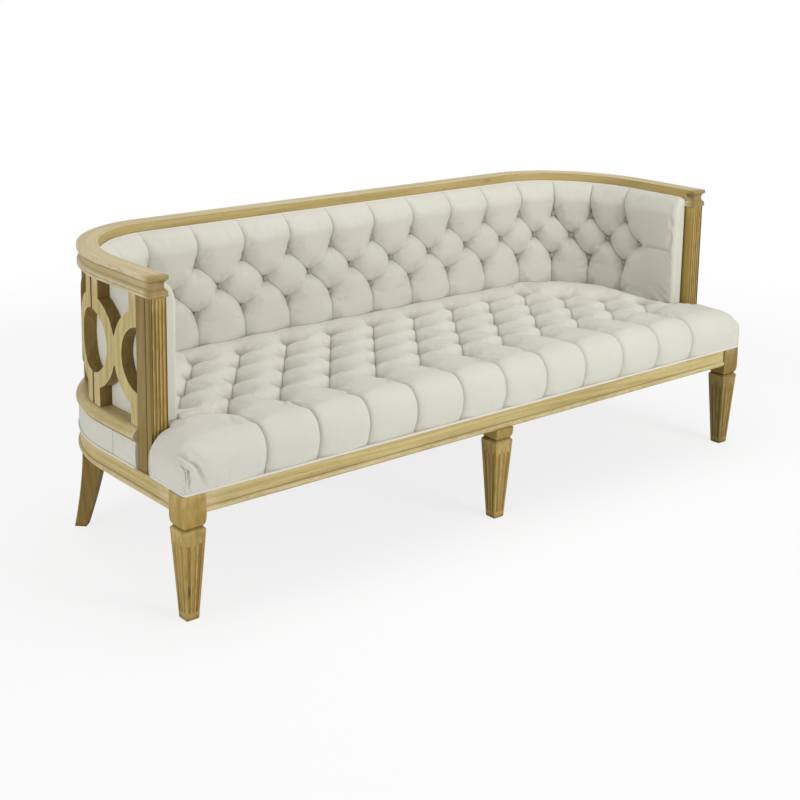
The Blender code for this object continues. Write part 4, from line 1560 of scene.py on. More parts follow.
@dataclass
class Tufting:
    """Buttons and pleats on a grid of vertices, given in tuft columns and rows."""

    columns: Array
    rows: Array
    pitch: float
    row_pitch: float
    pit: float = 0.040
    crease: float = 0.013
    notch: float = 0.0046
    fall: float = 0.027
    reach: float = 0.023
    button: float = 0.006
    wrinkle: float = 0.0012
    wrinkle_reach: float = 0.024
    wander: float = 0.0012
    slit: float = 0.034
    shadow: float = 0.72
    shadow_reach: float = 0.034
    # painted shade: darkness of the line along a full-depth pleat
    line: float = 0.86
    # painted shade close round each button
    pit_shade: float = 0.26
    pit_shade_reach: float = 0.010
    lips: tuple[float, float] = (0.45, 0.3)
    pleat_points: int = 120
    rounds: int = 160
    seed: int = 7

    def index(self, column: float, row: float) -> tuple[int, int]:
        """The grid vertex nearest to a tuft column and row."""
        across = int(np.abs(self.columns - column).argmin())
        return int(np.abs(self.rows - row).argmin()), across

    def gather(self, start: tuple, end: tuple, depth: float, width: float) -> Array:
        """A short fold with a raised lip on each side, as depth at each vertex.

        Args:
            start: tuft column and row where the fold starts.
            end: where it ends.
            depth: its depth at the middle.
            width: its half width.

        Returns:
            The depth at each vertex.
        """
        scale = np.array([self.pitch, self.row_pitch])
        first, last = np.array(start) * scale, np.array(end) * scale
        length = float(np.hypot(*(last - first)))
        along_x, along_y = (last - first) / length
        x = self.columns[None] * self.pitch - first[0]
        y = self.rows[:, None] * self.row_pitch - first[1]
        share = np.clip((x * along_x + y * along_y) / length, 0.0, 1.0)
        beside = (y * along_x - x * along_y) / width
        fold = np.exp(-(beside**2))
        for lip, away in zip(self.lips, (2, -2)):
            fold -= lip * np.exp(-((beside - away) ** 2))
        return depth * fold * np.sin(math.pi * share)

    def wrinkles(self, buttons: Outline, count: int, reach: tuple, deepest: float) -> list[tuple]:
        """Short loose folds that run away from the buttons.

        Args:
            buttons: tuft column and row of each button.
            count: folds at each button.
            reach: nearest and furthest distance from the button.
            deepest: the depth of the deepest.

        Returns:
            Start, end, depth and half width of each.
        """
        random = np.random.default_rng(self.seed + 1)
        made = []
        for column, row in buttons:
            for _ in range(count):
                turn, bend = random.uniform(0, 2 * math.pi), random.normal(0, 0.35)
                ends = []
                for distance, angle in zip(reach, (turn, turn + bend)):
                    distance *= random.uniform(0.7, 1.2)
                    across = column + distance * math.cos(angle) / self.pitch
                    ends.append((across, row + distance * math.sin(angle) / self.row_pitch))
                depth = deepest * random.uniform(0.35, 1.0)
                made.append((*ends, depth, random.uniform(0.005, 0.007)))
        return made

    def relief(
        self, buttons: Outline, pleats: list[tuple], gathers: list[tuple]
    ) -> tuple[Array, Array]:
        """How far the cover lies below its fullest.

        Args:
            buttons: tuft column and row of each button.
            pleats: start and end of each pleat, its share of the full crease beside a button
                and how much of that it keeps away from one.
            gathers: start, end, depth and half width of each loose fold.

        Returns:
            The depth at each vertex, and how much painted shade it gets from 0 to 1: along the
            pleats, round the buttons and along the gathers.
        """
        shape = len(self.rows), len(self.columns)
        fixed, depth, creased = np.zeros(shape, bool), np.zeros(shape), np.zeros(shape)
        places = np.array(buttons)
        scale = np.array([self.pitch, self.row_pitch])
        for start, end, share, waist in pleats:
            for point in np.linspace(start, end, self.pleat_points):
                near = np.min(np.hypot(*((places - point) * scale).T))
                row, column = self.index(*point)
                pull = math.exp(-((near / self.fall) ** 2))
                kept = share * (waist + (1.0 - waist) * math.exp(-((near / self.slit) ** 2)))
                deep = self.crease * kept + (self.pit - self.crease * kept) * pull
                fixed[row, column] = True
                depth[row, column] = max(depth[row, column], deep)
                creased[row, column] = max(creased[row, column], kept)
        x, y = self.columns[None] * self.pitch, self.rows[:, None] * self.row_pitch
        random = np.random.default_rng(self.seed)
        # painted shade starts as dark lines along the pleats
        folds, fold = np.zeros(shape), self.line * np.sqrt(creased)
        for column, row in buttons:
            across, along = x - column * self.pitch, y - row * self.row_pitch
            apart = np.hypot(across, along)
            held = apart < self.button
            fixed |= held
            depth[held] = self.pit
            # painted shade round each button, broad and then close in
            shadow = self.shadow * np.exp(-((apart / self.shadow_reach) ** 2))
            shadow += self.pit_shade * np.exp(-((apart / self.pit_shade_reach) ** 2))
            fold = np.maximum(fold, shadow)
            band = np.exp(-(((apart - self.wrinkle_reach) / (self.wrinkle_reach / 2)) ** 2))
            turns, phase = random.integers(6, 10), random.uniform(0, 2 * math.pi)
            folds += band * np.cos(turns * np.arctan2(along, across) + phase)
        steps = [np.median(np.diff(lines)) for lines in (self.rows, self.columns)] * scale[::-1]
        sunk = stretch_over(fixed, depth, steps, self.reach, self.rounds)
        for _ in range(6):
            waves = random.uniform(4, 22, 2)
            phase = random.uniform(0, 2 * math.pi)
            sunk = sunk + self.wander / 3 * np.sin(waves[0] * x + waves[1] * y + phase)
        sunk += self.wrinkle * folds + self.notch * creased
        for start, end, deep, width in gathers:
            line = self.gather(start, end, deep, width)
            sunk += line
            # painted shade along each gather
            fold = np.maximum(fold, min(deep / 0.008, 0.70) * np.clip(line / deep, 0.0, 1.0))
        return sunk, fold


def lattice(rows: Shares, shares: tuple, waists: tuple) -> tuple[Outline, list[tuple]]:
    """Buttons in staggered rows and the diamond pleats between them.

    Args:
        rows: each row's number and its outermost tuft column.
        shares: how deep the pleats are that lean left and right.
        waists: how much of that they keep half way between two buttons.

    Returns:
        The buttons, and the pleats as start, end, share and waist.
    """
    buttons = [(column, row) for row, last in rows for column in np.arange(-last, last + 0.1)]
    pleats = []
    for column, row in buttons:
        for beside, share, waist in zip((column - 0.5, column + 0.5), shares, waists):
            if (beside, row + 1) in buttons:
                pleats.append(((column, row), (beside, row + 1), share, waist))
    return buttons, pleats


def inflate(obj: Obj, floor: float, cap: float = 0.005, frames: int = 7) -> None:
    """Swells a cover with Blender's cloth solver and keeps the result in its mesh.

    The cover's "hold" attribute says how firmly each vertex is held, from 0 to 1.

    Args:
        obj: the cover.
        floor: the height up to which every vertex is held.
        cap: the furthest that a vertex may move.
        frames: how long the solver runs.
    """
    count = len(obj.data.vertices)
    hold, rest = np.empty(count), np.empty(count * 3)
    obj.data.attributes["hold"].data.foreach_get("value", hold)
    obj.data.vertices.foreach_get("co", rest)
    hold = np.round(np.where(rest[2::3] <= floor, 1.0, hold), 1)
    group = obj.vertex_groups.new(name="held")
    for weight in np.unique(hold[hold > 0]):
        group.add(np.flatnonzero(hold == weight).tolist(), float(weight), "REPLACE")
    cloth = obj.modifiers.new("cloth", "CLOTH")
    for name, value in {
        "quality": 3,
        "mass": 0.2,
        "tension_stiffness": 8.0,
        "compression_stiffness": 8.0,
        "shear_stiffness": 3.0,
        "bending_stiffness": 0.3,
        "use_pressure": True,
        "uniform_pressure_force": 3.0,
        "vertex_group_mass": group.name,
        "pin_stiffness": 10.0,
        "shrink_min": -0.025,
    }.items():
        setattr(cloth.settings, name, value)
    cloth.settings.effector_weights.gravity = 0.0
    cloth.collision_settings.use_collision = False
    cloth.point_cache.frame_start, cloth.point_cache.frame_end = 1, frames
    for number in range(1, frames + 1):
        bpy.context.scene.frame_set(number)
    depsgraph = bpy.context.evaluated_depsgraph_get()
    swollen = np.empty(count * 3)
    obj.evaluated_get(depsgraph).data.vertices.foreach_get("co", swollen)
    moved = np.nan_to_num((swollen - rest).reshape(-1, 3))
    length = np.linalg.norm(moved, axis=1, keepdims=True)
    LOG.info("%s: cloth moved by up to %.1f mm", obj.name, float(length.max()) * 1000)
    moved *= np.minimum(1.0, cap / np.maximum(length, 1e-9))
    obj.modifiers.remove(cloth)
    obj.vertex_groups.remove(group)
    obj.data.vertices.foreach_set("co", (rest.reshape(-1, 3) + moved).ravel())
    bpy.context.scene.frame_set(1)


def store_shade_and_hold(obj: Obj, fold: Array, firm: Array) -> None:
    """Stores a cover's painted shade of folds and pits, and its hold: full where it is firm, else
    by that shade.

    Args:
        obj: the cover.
        fold: how much painted shade each vertex gets.
        firm: where it is held.
    """
    store(obj, "fold", fold.ravel())
    hold = np.where(firm, 1.0, np.clip(fold**2 * CREASE_HOLD, 0.0, 1.0))
    store(obj, "hold", hold.ravel())


def rounding(distance: Array, radius: float) -> Array:
    """How far a quarter-round edge falls away at distances inside it."""
    share = np.clip(distance / radius, 0.0, 1.0)
    return radius * (1.0 - np.sqrt(1.0 - (1.0 - share) ** 2))


@dataclass
class SeatCover:
    """The tufted seat: rolled over in front and at the ends, and tucked in behind."""

    plan: PlanLine
    pitch: float = 0.1545
    row_pitch: float = 0.0995
    first_row: float = 0.168
    column_steps: int = 28
    row_steps: int = 14
    roll_steps: int = 22
    wall_steps: int = 10
    bulge: float = 0.011
    shifts: tuple[float, float] = (-0.007, 0.008)
    taper: float = 0.005
    front_roll: float = 0.060
    end_roll: float = 0.085
    widest: float = 0.370
    crest: float = 0.425
    crown: float = 0.013
    side: float = 0.095
    rear: float = 0.115
    clearance: float = 0.001
    setback: float = 0.029
    tuck: float = 0.014
    front_tuck: float = 0.022
    hem: float = 0.012
    squareness: float = 0.55
    gathers: tuple[tuple, ...] = (
        ((6.08, -2.68), (6.52, -1.10), 0.0068, 0.0068),
        ((6.40, -2.70), (6.62, -1.50), 0.0048, 0.0050),
        ((6.60, -2.68), (6.64, -1.95), 0.0040, 0.0045),
        ((6.70, -2.05), (6.50, -1.45), 0.0022, 0.0050),
    )
    squeeze_from: float = 0.618
    front_pleats: tuple[float, float] = (0.9, 0.85)
    rear_pleats: tuple[float, float] = (0.6, 0.3)
    end_pleats: tuple[float, float] = (0.6, 0.5)
    front_leans: tuple[float, float] = (-0.14, 0.10)
    slack: tuple = ((-6.1, 0.55), (-5.15, 0.28), 0.0045, 0.006)
    # painted shade along where the seat meets the pads and posts
    border_shade: float = 0.80
    rows: Shares = ((0.0, 5.0), (1.0, 5.5), (2.0, 5.0), (3.0, 4.5), (4.0, 4.0))
    pleat_shares: tuple[float, float] = (0.8, 1.0)
    pleat_waists: tuple[float, float] = (0.15, 0.8)
    wrinkles: tuple = (3, (0.012, 0.045), 0.0022)

    def __post_init__(self) -> None:
        """Takes the seat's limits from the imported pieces."""
        self.front = low("front_leg_right").y
        self.end = high("front_leg_right").x
        self.base = high("apron_front").z + FIT
        self.post = low("arm_post_right")
        self.neck = self.plan.half_span - self.side - self.clearance
        self.back = self.plan.back - self.rear - self.clearance

    def spread(self, start: float, step: float, roll: float) -> Array:
        """Lines of vertices away from the middle: flat, then rolled, then down the wall.

        Args:
            start: where the roll starts.
            step: spacing of the flat part.
            roll: how far the roll reaches.

        Returns:
            Each line's flat place, roll angle, depth down the wall and path length, in rows.
        """
        flat = np.arange(int(start / step + 1e-6) + 1) * step
        arc = math.pi / 2 * math.sqrt((roll**2 + (self.crest - self.widest) ** 2) / 2)
        turn = np.arange(1, self.roll_steps + 1) / self.roll_steps
        down = np.arange(1, self.wall_steps + 1) / self.wall_steps * (self.widest - self.base)
        place = np.r_[flat, start + 0 * turn, start + 0 * down]
        angle = np.r_[0 * flat, turn, 1 + 0 * down] * math.pi / 2
        depth = np.r_[0 * flat, 0 * turn, down]
        return np.array([place, angle, depth, np.r_[flat, start + turn * arc, start + arc + down]])

    def lines(self) -> tuple[Array, Array]:
        """The lines of vertices across the sofa and from front to back, as spread gives them.

        Returns:
            The lines across and the lines along.
        """
        edge = self.end + self.bulge - self.end_roll
        right = self.spread(edge, self.pitch / self.column_steps, self.end_roll)
        across = np.concatenate([-right[:, :0:-1], right], axis=1)
        step = self.row_pitch / self.row_steps
        first = self.front + self.first_row
        start = first - (self.front - self.bulge + self.front_roll)
        ahead = self.spread(start, step, self.front_roll)[:, ::-1] * [[-1], [1], [1], [-1]]
        behind = np.arange(1, int((self.back - first) / step) + 1) * step
        behind = np.append(behind[behind < self.back - first - step / 2], self.back - first)
        along = np.concatenate([ahead, behind * [[1], [0], [0], [1]]], axis=1)
        along[0] += first
        return across, along

    def half_width(self, y: Array) -> Array:
        """Half the seat's width between the inside pads at a depth.

        Args:
            y: the depths.

        Returns:
            The half widths.
        """
        angle = np.linspace(0.0, math.pi / 2, 60)
        inset = self.rear * np.cos(angle) ** 2 + self.side * np.sin(angle) ** 2 + self.clearance
        x = self.plan.centre_x + (self.plan.corner_across - inset) * np.sin(angle)
        depth = self.plan.centre_y + (self.plan.corner_deep - inset) * np.cos(angle)
        return np.interp(-y, -depth, x)

    def shape(self, across: Array, along: Array) -> Array:
        """The cover's fullest shape, before its tufts draw it down.

        Args:
            across: the lines across the sofa, as lines gives them.
            along: the lines from front to back, as lines gives them.

        Returns:
            The points of the shape.
        """
        left = (across[:1] < 0) & (along[0, :, None] < np.inf)
        side, side_angle, side_down = np.abs(across[:3, None])
        deep, front_angle, front_down = along[:3, :, None]
        normal = np.broadcast_arrays(
            np.sin(side_angle), np.sin(front_angle), np.cos(side_angle) * np.cos(front_angle)
        )
        nx, ny, nz = normal / np.linalg.norm(normal, axis=0)
        down = np.maximum(side_down, front_down)
        low_share = down / (self.widest - self.base)
        longest = np.maximum(np.maximum(nx, ny), 1e-6)
        flat = np.hypot(nx, ny)
        power = self.squareness * flat**2 + (0.97 - self.squareness) * low_share
        square = np.where(flat > 0, (np.maximum(flat, 1e-6) / longest) ** power, 1.0)
        inward = self.bulge * (1.0 - np.cos(math.pi / 2 * low_share))
        shift = np.where(left, *self.shifts) * (1.0 - low_share)
        back_share = np.clip((deep - self.front) / (self.post.y - self.front), 0.0, 1.0)
        shift = shift - np.where(left, self.taper, 0.0) * back_share
        x = side + (self.end_roll * nx - inward * nx) * square + shift * nx**2
        y = deep - (self.front_roll * ny - inward * ny) * square
        crest = self.crest + self.crown * (1.0 - (x / self.end) ** 4)
        z = self.widest + (crest - self.widest) * nz - down
        free = self.squeeze_from
        pulled = free + (x - free) * (self.half_width(y) - free) / (self.neck - free)
        x = np.where((y > self.plan.centre_y) & (x > free), pulled, x)
        return points_of(np.where(left, -x, x), y, z)

    def borders(self, points: Array) -> tuple[Array, Array]:
        """Distances from where the cover meets the pads, and from posts and pads' front ends.

        Args:
            points: the cover's points.

        Returns:
            Both distances of each point.
        """
        x, y = np.abs(points[..., 0]), points[..., 1]
        beside, post_front = self.post.x - FIT, self.post.y - FIT
        pad_front = post_front + self.setback
        between = np.where(y > pad_front, self.half_width(y) - x, np.inf)
        notch = np.where((y > post_front) & (y <= pad_front), beside - x, np.inf)
        behind = np.where((x > self.neck) & (x <= beside), pad_front - y, np.inf)
        at_post = np.where(x > beside, post_front - y, np.inf)
        near_front = np.minimum(np.minimum(notch, behind), at_post)
        return np.maximum(np.minimum(self.back - y, between), 0.0), np.maximum(near_front, 0.0)

    def tufts(self, across: Array, along: Array) -> tuple[Array, Array]:
        """The depth of the seat's buttons, pleats and gathers, and the painted shade of its folds
        and pits.

        Args:
            across: the lines across the sofa, as lines gives them.
            along: the lines from front to back, as lines gives them.

        Returns:
            How deep each vertex is drawn, and how much painted shade it gets.
        """
        tufting = Tufting(across / self.pitch, along / self.row_pitch, self.pitch, self.row_pitch)
        buttons, pleats = lattice(self.rows, self.pleat_shares, self.pleat_waists)
        lowest, furthest = tufting.rows[[0, -1]]
        for last, first, end, deep in (
            (5.0, 0.0, lowest, self.front_pleats), (4.0, 4.0, furthest, self.rear_pleats)
        ):
            pleats += [((at, first), (at, end), *deep) for at in np.arange(-last, last + 0.1)]
        for sign in (-1.0, 1.0):
            pleats.append(((5.0 * sign, 0.0), (5.75 * sign, 0.06), *self.end_pleats))
        gathers = tufting.wrinkles(buttons, *self.wrinkles)
        random = np.random.default_rng(3)
        for column, row in buttons[:11]:
            for lean in self.front_leans:
                first = column + lean + random.uniform(-0.04, 0.04), row - 0.30
                last = first[0] + lean + random.uniform(-0.1, 0.1), row - random.uniform(0.8, 1.4)
                gathers.append((first, last, random.uniform(0.0012, 0.0030), 0.0062))
        gathers.append(self.slack)
        for start, end, depth, width in self.gathers:
            for sign, share in ((-1.0, 1.0), (1.0, 0.35)):
                first, last = (start[0] * sign, start[1]), (end[0] * sign, end[1])
                gathers.append((first, last, depth * share, width))
        return tufting.relief(buttons, pleats, gathers)

    def build(self, finishes: Finishes) -> list[Obj]:
        """Makes the seat cover as one closed body.

        Args:
            finishes: the materials.

        Returns:
            The cover and its piping.
        """
        across, along = self.lines()
        points = self.shape(across, along)
        normals = surface_normals(points)
        normals[normals[..., 2] < -0.3] *= -1
        sunk, fold = self.tufts(across[3], along[3])
        points = points - normals * sunk[..., None]
        at_pads, at_posts = self.borders(points)
        tucked = rounding(at_pads, self.tuck), rounding(at_posts, self.front_tuck)
        points[..., 2] -= np.maximum(*tucked)
        nearest = np.minimum(at_pads, at_posts)
        # painted shade along the seat's borders with the pads and posts
        fold = np.maximum(fold, self.border_shade * np.exp(-((nearest / self.hem) ** 2)))
        points[..., 2] = np.maximum(points[..., 2], self.base)
        points[0, :, 2] = points[:, 0, 2] = points[:, -1, 2] = self.base
        rows, columns = points.shape[:2]
        index = np.arange(rows * columns).reshape(rows, columns)
        middle = columns // 2
        neck = np.abs(across[0, middle:] - self.neck).argmin()
        post_row = np.abs(along[0] - self.post.y).argmin()
        halves = points[post_row, middle::-1, 0], points[post_row, middle:, 0]
        beside = [np.abs(np.abs(half) - self.post.x).argmin() for half in halves]
        pad_row = np.abs(along[0] - self.post.y - self.setback).argmin()
        self.snap(points, neck, beside, post_row, pad_row)
        row, column = np.mgrid[: rows - 1, : columns - 1]
        out = np.minimum(abs(column - middle), abs(column + 1 - middle))
        gone = (row >= post_row) & (out >= np.where(column < middle, *beside))
        gone |= (row >= pad_row) & (out >= neck)
        gone |= (row < self.wall_steps) & (out >= middle - self.wall_steps)
        faces = []
        for row, column in np.argwhere(~gone):
            cell = slice(row, row + 2), slice(column, column + 2)
            faces += creased_faces(index[cell], fold[cell])
        obj = new_object("tufted_seat", points, faces)
        store(obj, "cloth", points_of(across[3], along[3][:, None], 0.0).reshape(-1, 3))
        store_shade_and_hold(obj, fold, (points[..., 2] < self.base + self.hem) | (nearest < self.tuck))
        front = points[: post_row + 1]
        self.close(obj, front[-1, [0, -1], 0])
        inflate(obj, self.base + FIT)
        smooth(obj, 58.0)
        finishes.cover(obj, "seat_pad")
        border = np.concatenate([front[::-1, 0], points[0], front[:, -1]])
        return [obj, self.piping(finishes, border)]

    def snap(self, points: Array, neck: int, beside: list, post_row: int, pad_row: int) -> None:
        """Moves the lines beside the posts and pads onto their exact borders.

        Args:
            points: the cover's vertices, row by row.
            neck: columns from the middle to the pads.
            beside: columns from the middle to the left and the right post.
            post_row: the row at the posts' fronts.
            pad_row: the row at the pads' front ends.
        """
        middle = points.shape[1] // 2
        for side, post in zip((-1, 1), beside):
            points[post_row:, middle + side * post, 0] = side * (self.post.x - FIT)
            column = points[pad_row:, middle + side * neck]
            straight = column[:, 1] < self.plan.centre_y
            column[straight, 0] = side * self.neck
            reach = slice(None, middle - post + 1) if side < 0 else slice(middle + post, None)
            points[post_row, reach, 1] = self.post.y - FIT
            between = sorted((middle + side * neck, middle + side * post))
            points[pad_row, between[0] : between[1] + 1, 1] = self.post.y + self.setback - FIT

    def close(self, obj: Obj, ends: Array) -> None:
        """Joins the front corners, drops the rear edges to the deck and fills the underside.

        Args:
            obj: the open cover.
            ends: the lower edge's furthest places to the left and right.
        """
        with edited(obj.data) as bm:
            loose = [vert for vert in bm.verts if not vert.link_faces]
            bmesh.ops.delete(bm, geom=loose, context="VERTS")
            bmesh.ops.remove_doubles(bm, verts=bm.verts[:], dist=FIT / 3)
            border = [edge for edge in bm.edges if edge.is_boundary]
            for vert in bmesh.ops.extrude_edge_only(bm, edges=border)["geom"]:
                if isinstance(vert, bmesh.types.BMVert):
                    vert.co.z = self.base
                    vert.co.x = np.clip(vert.co.x, *ends)
            bmesh.ops.remove_doubles(bm, verts=bm.verts[:], dist=FIT / 3)
            border = [edge for edge in bm.edges if edge.is_boundary]
            bmesh.ops.holes_fill(bm, edges=border, sides=0)

    def piping(
        self, finishes: Finishes, border: Array, radius: float = 0.0033, spacing: float = 0.02
    ) -> Obj:
        """The cord along the seat's lower edge, from post to post round the front.

        Args:
            finishes: the materials.
            border: points of the cover's lower edge.
            radius: the cord's radius.
            spacing: the largest gap between the cord's rings.

        Returns:
            The cord.
        """
        ahead, (start, end) = border[:, 1].min(), border[[0, -1], :2] - (0.0, radius)
        corners = [tuple(start), (border[:, 0].min(), ahead), (border[:, 0].max(), ahead)]
        outline = np.array(fillet([*corners, tuple(end)], radius * 2))
        path = []
        for here, after in zip(outline, outline[1:]):
            count = max(int(math.dist(here, after) / spacing), 1)
            path += [here + (after - here) * step / count for step in range(count)]
        path = np.array([*path, outline[-1]])
        rise = np.full(len(path), self.base + radius * 0.9)
        return finishes.cover(pipe("seat_piping", np.column_stack([path, rise]), radius))


@dataclass
class InsidePads:
    """The tufted inside of the back and arms, sewn as one cover, with its buttons and piping."""

    plan: PlanLine
    gauge: float = 0.095
    rear: float = 0.115
    pitch: float = 0.1545
    corner_pitch: float = 0.120
    straight: float = 4.5
    row_pitch: float = 0.0705
    first_row: float = 0.515
    steps: int = 24
    row_steps: int = 12
    tuck: float = 0.056
    roll_start: float = 0.700
    roll_steps: int = 10
    setback: float = 0.029
    edge: float = 0.012
    corner: float = 0.021
    hook_inset: float = 0.0463
    board_inset: float = 0.0554
    button: float = 0.0100
    button_shape: Shares = ((0.0, 0.42), (0.45, 0.38), (0.75, 0.26), (0.95, 0.05), (1.0, -0.12))
    # painted shade on the buttons, as though in the shade of their pits
    button_shade: float = 0.85
    button_sides: int = 16
    lift: float = 0.0092
    end_steps: tuple[float, ...] = (1.0, 0.7, 0.45, 0.25, 0.1, 0.03, 0.0)
    edge_pleats: tuple[float, float] = (0.9, 0.8)
    end_pleats: tuple[float, float] = (0.4, 0.25)
    rows: Shares = ((0.0, 7.5), (1.0, 8.0), (2.0, 7.5))
    pleat_shares: tuple[float, float] = (1.0, 0.7)
    pleat_waists: tuple[float, float] = (0.85, 0.08)
    wrinkles: tuple = (5, (0.012, 0.040), 0.0020)

    def __post_init__(self) -> None:
        """Takes the pads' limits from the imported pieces."""
        self.bottom = low("inside_pad_back").z
        self.top = high("inside_pad_back").z
        self.hook = high("backing_board_back").z + FIT
        self.end = self.plan.station_at(low("arm_post_right").y + self.setback, self.gauge)

    def station(self, column: Array) -> Array:
        """The station of a tuft column; columns are closer together past the straight back.

        Args:
            column: the columns.

        Returns:
            Their stations.
        """
        past = np.maximum(np.abs(column) - self.straight, 0.0)
        along = np.minimum(np.abs(column), self.straight) * self.pitch
        return np.sign(column) * (along + past * self.corner_pitch)

    def columns(self) -> tuple[Array, Array]:
        """The tuft column and station of each line of vertices.

        Returns:
            The columns and the stations.
        """
        last = self.straight + (self.end - self.straight * self.pitch) / self.corner_pitch
        even = np.arange(int((last - self.edge / self.corner_pitch) * self.steps) + 1) / self.steps
        turn = last - self.edge / self.corner_pitch * np.array(self.end_steps)
        right = np.r_[even, turn[turn > even[-1] + 0.01]]
        column = np.r_[-right[:0:-1], right]
        return column, self.station(column)

    def heights(self) -> tuple[Array, Array]:
        """The height and roll angle of each row of vertices, from the deck up.

        Returns:
            The heights and the angles.
        """
        z = self.first_row + np.arange(-18, 32) / self.row_steps * self.row_pitch
        z = z[z < self.roll_start - 0.002]
        turn = np.arange(0, self.roll_steps + 1) / self.roll_steps * math.pi / 2
        z = np.r_[self.bottom, (self.bottom + z[0]) / 2, z]
        rolled = self.roll_start + (self.top - self.roll_start) * np.sin(turn)
        return np.r_[z, rolled], np.r_[0 * z, turn]

    def build(self, finishes: Finishes) -> list[Obj]:
        """Makes the cover, its buttons, and the piping under the rail.

        Args:
            finishes: the materials.

        Returns:
            The cover, its buttons and the piping.
        """
        column, station = self.columns()
        z, turn = self.heights()
        angle = self.plan.angle(station, self.gauge)
        deep = self.rear * np.cos(angle) ** 2 + self.gauge * np.sin(angle) ** 2
        from_end = self.end - np.abs(station)
        deep = deep - rounding(from_end, self.edge)
        inset = self.tuck + (deep[None] - self.tuck) * np.cos(turn)[:, None]
        height = np.minimum(z[:, None], (self.top - rounding(from_end, self.corner))[None])
        points = self.plan.at(station[None], inset, height, self.gauge)
        tufting = Tufting(
            column, (z - self.first_row) / self.row_pitch, self.pitch, self.row_pitch, pit=0.026,
            crease=0.0105, fall=0.024, shadow=0.46, shadow_reach=0.028, seed=11,
        )
        buttons, pleats = lattice(self.rows, self.pleat_shares, self.pleat_waists)
        for row, end in ((2.0, tufting.rows[-1]), (0.0, -1.4)):
            pleats += [((at, row), (at, end), *self.edge_pleats) for at in np.arange(-7.5, 7.6)]
        for sign in (-1.0, 1.0):
            pleats.append(((8.0 * sign, 1.0), (9.2 * sign, 1.12), *self.end_pleats))
        gathers = tufting.wrinkles(buttons, *self.wrinkles)
        sunk, fold = tufting.relief(buttons, pleats, gathers)
        sunk *= np.clip(from_end / self.edge, 0.0, 1.0)[None]
        sunk *= np.clip((self.top - z) / self.edge + 0.25, 0.0, 1.0)[:, None]
        normals = surface_normals(points)
        if normals[len(z) // 2, len(station) // 2, 1] > 0:
            normals *= -1
        face = points - normals * sunk[..., None]
        obj = self.cover(face, station, z, height[-1])
        edge = (z > self.top - self.edge)[:, None] | (from_end < self.edge)[None]
        hidden = np.ones((4, len(station)), bool)
        store_shade_and_hold(obj, np.concatenate([fold, 0.0 * hidden]).T, np.concatenate([edge, hidden]).T)
        inflate(obj, self.bottom + 2 * FIT)
        pads = [f"inside_pad_{side}" for side in ("left", "back", "right")]
        finishes.cover(obj, *pads)
        others = self.buttons(tufting, buttons, face, normals), self.piping(station)
        return [obj, *(finishes.cover(piece) for piece in others)]

    def cover(self, face: Array, station: Array, z: Array, top: Array) -> Obj:
        """Closes the face over its hooked back, which wraps round the boards.

        Args:
            face: the tufted face, rows by columns.
            station: the station of each column.
            z: the height of each row.
            top: the height of the top edge at each column.

        Returns:
            The cover.
        """
        lines = [
            self.plan.at(station, inset, height, self.gauge)
            for inset, height in (
                (self.hook_inset, top),
                (self.hook_inset, self.hook),
                (self.board_inset, self.hook),
                (self.board_inset, self.bottom),
            )
        ]
        rings = np.concatenate([face, np.array(lines)]).transpose(1, 0, 2)
        obj = skin("tufted_inside_back", rings)
        finish_cloth(obj, station[:, None], np.r_[z, z[-1] + np.arange(1, 5) * 0.01][None], 58.0)
        return obj

    def buttons(self, tufting: Tufting, places: Outline, face: Array, normals: Array) -> Obj:
        """Small covered buttons as one piece.

        Args:
            tufting: the tufting of the cover.
            places: tuft column and row of each button.
            face: the tufted face.
            normals: its normals before it was tufted.

        Returns:
            The buttons.
        """
        reach, rise = self.button * np.array(self.button_shape).T[..., None, None]
        turns = np.linspace(0.0, 2 * math.pi, self.button_sides, endpoint=False)[:, None]
        points, faces = [], []
        for place in places:
            row, column = tufting.index(*place)
            normal = normals[row, column]
            across = np.cross(normal, [0.0, 0.0, 1.0])
            across /= np.linalg.norm(across)
            flat = across * np.cos(turns) + np.cross(across, normal) * np.sin(turns)
            crown, *rings = face[row, column] + reach * flat + (rise + self.lift) * normal
            here = len(points) + np.arange(len(rings) * len(turns)).reshape(len(rings), -1)
            points += [*np.concatenate(rings), crown[0]]
            top = zip(np.roll(here[0], -1).tolist(), here[0].tolist())
            faces += ring_faces(here) + [(len(points) - 1, *edge) for edge in top]
            faces.append(tuple(here[-1].tolist()))
        obj = new_object("back_buttons", np.array(points), faces)
        store(obj, "cloth", np.array(points)[:, [0, 2, 1]])
        # painted shade: the buttons are darkened as though they sat in the shade of their pits
        store(obj, "fold", np.full(len(points), self.button_shade))
        smooth(obj, 50.0)
        return obj

    def piping(self, station: Array, radius: float = 0.003) -> Obj:
        """The cord along the pads' top edge, under the rail.

        Args:
            station: the stations of the cover's lines.
            radius: the cord's radius.

        Returns:
            The piping.
        """
        reach = station[np.abs(station) < self.end - self.corner]
        inset, z = self.tuck + radius / 2, self.top - radius / 2
        return pipe("back_piping", self.plan.at(reach, inset, z, self.gauge), radius)


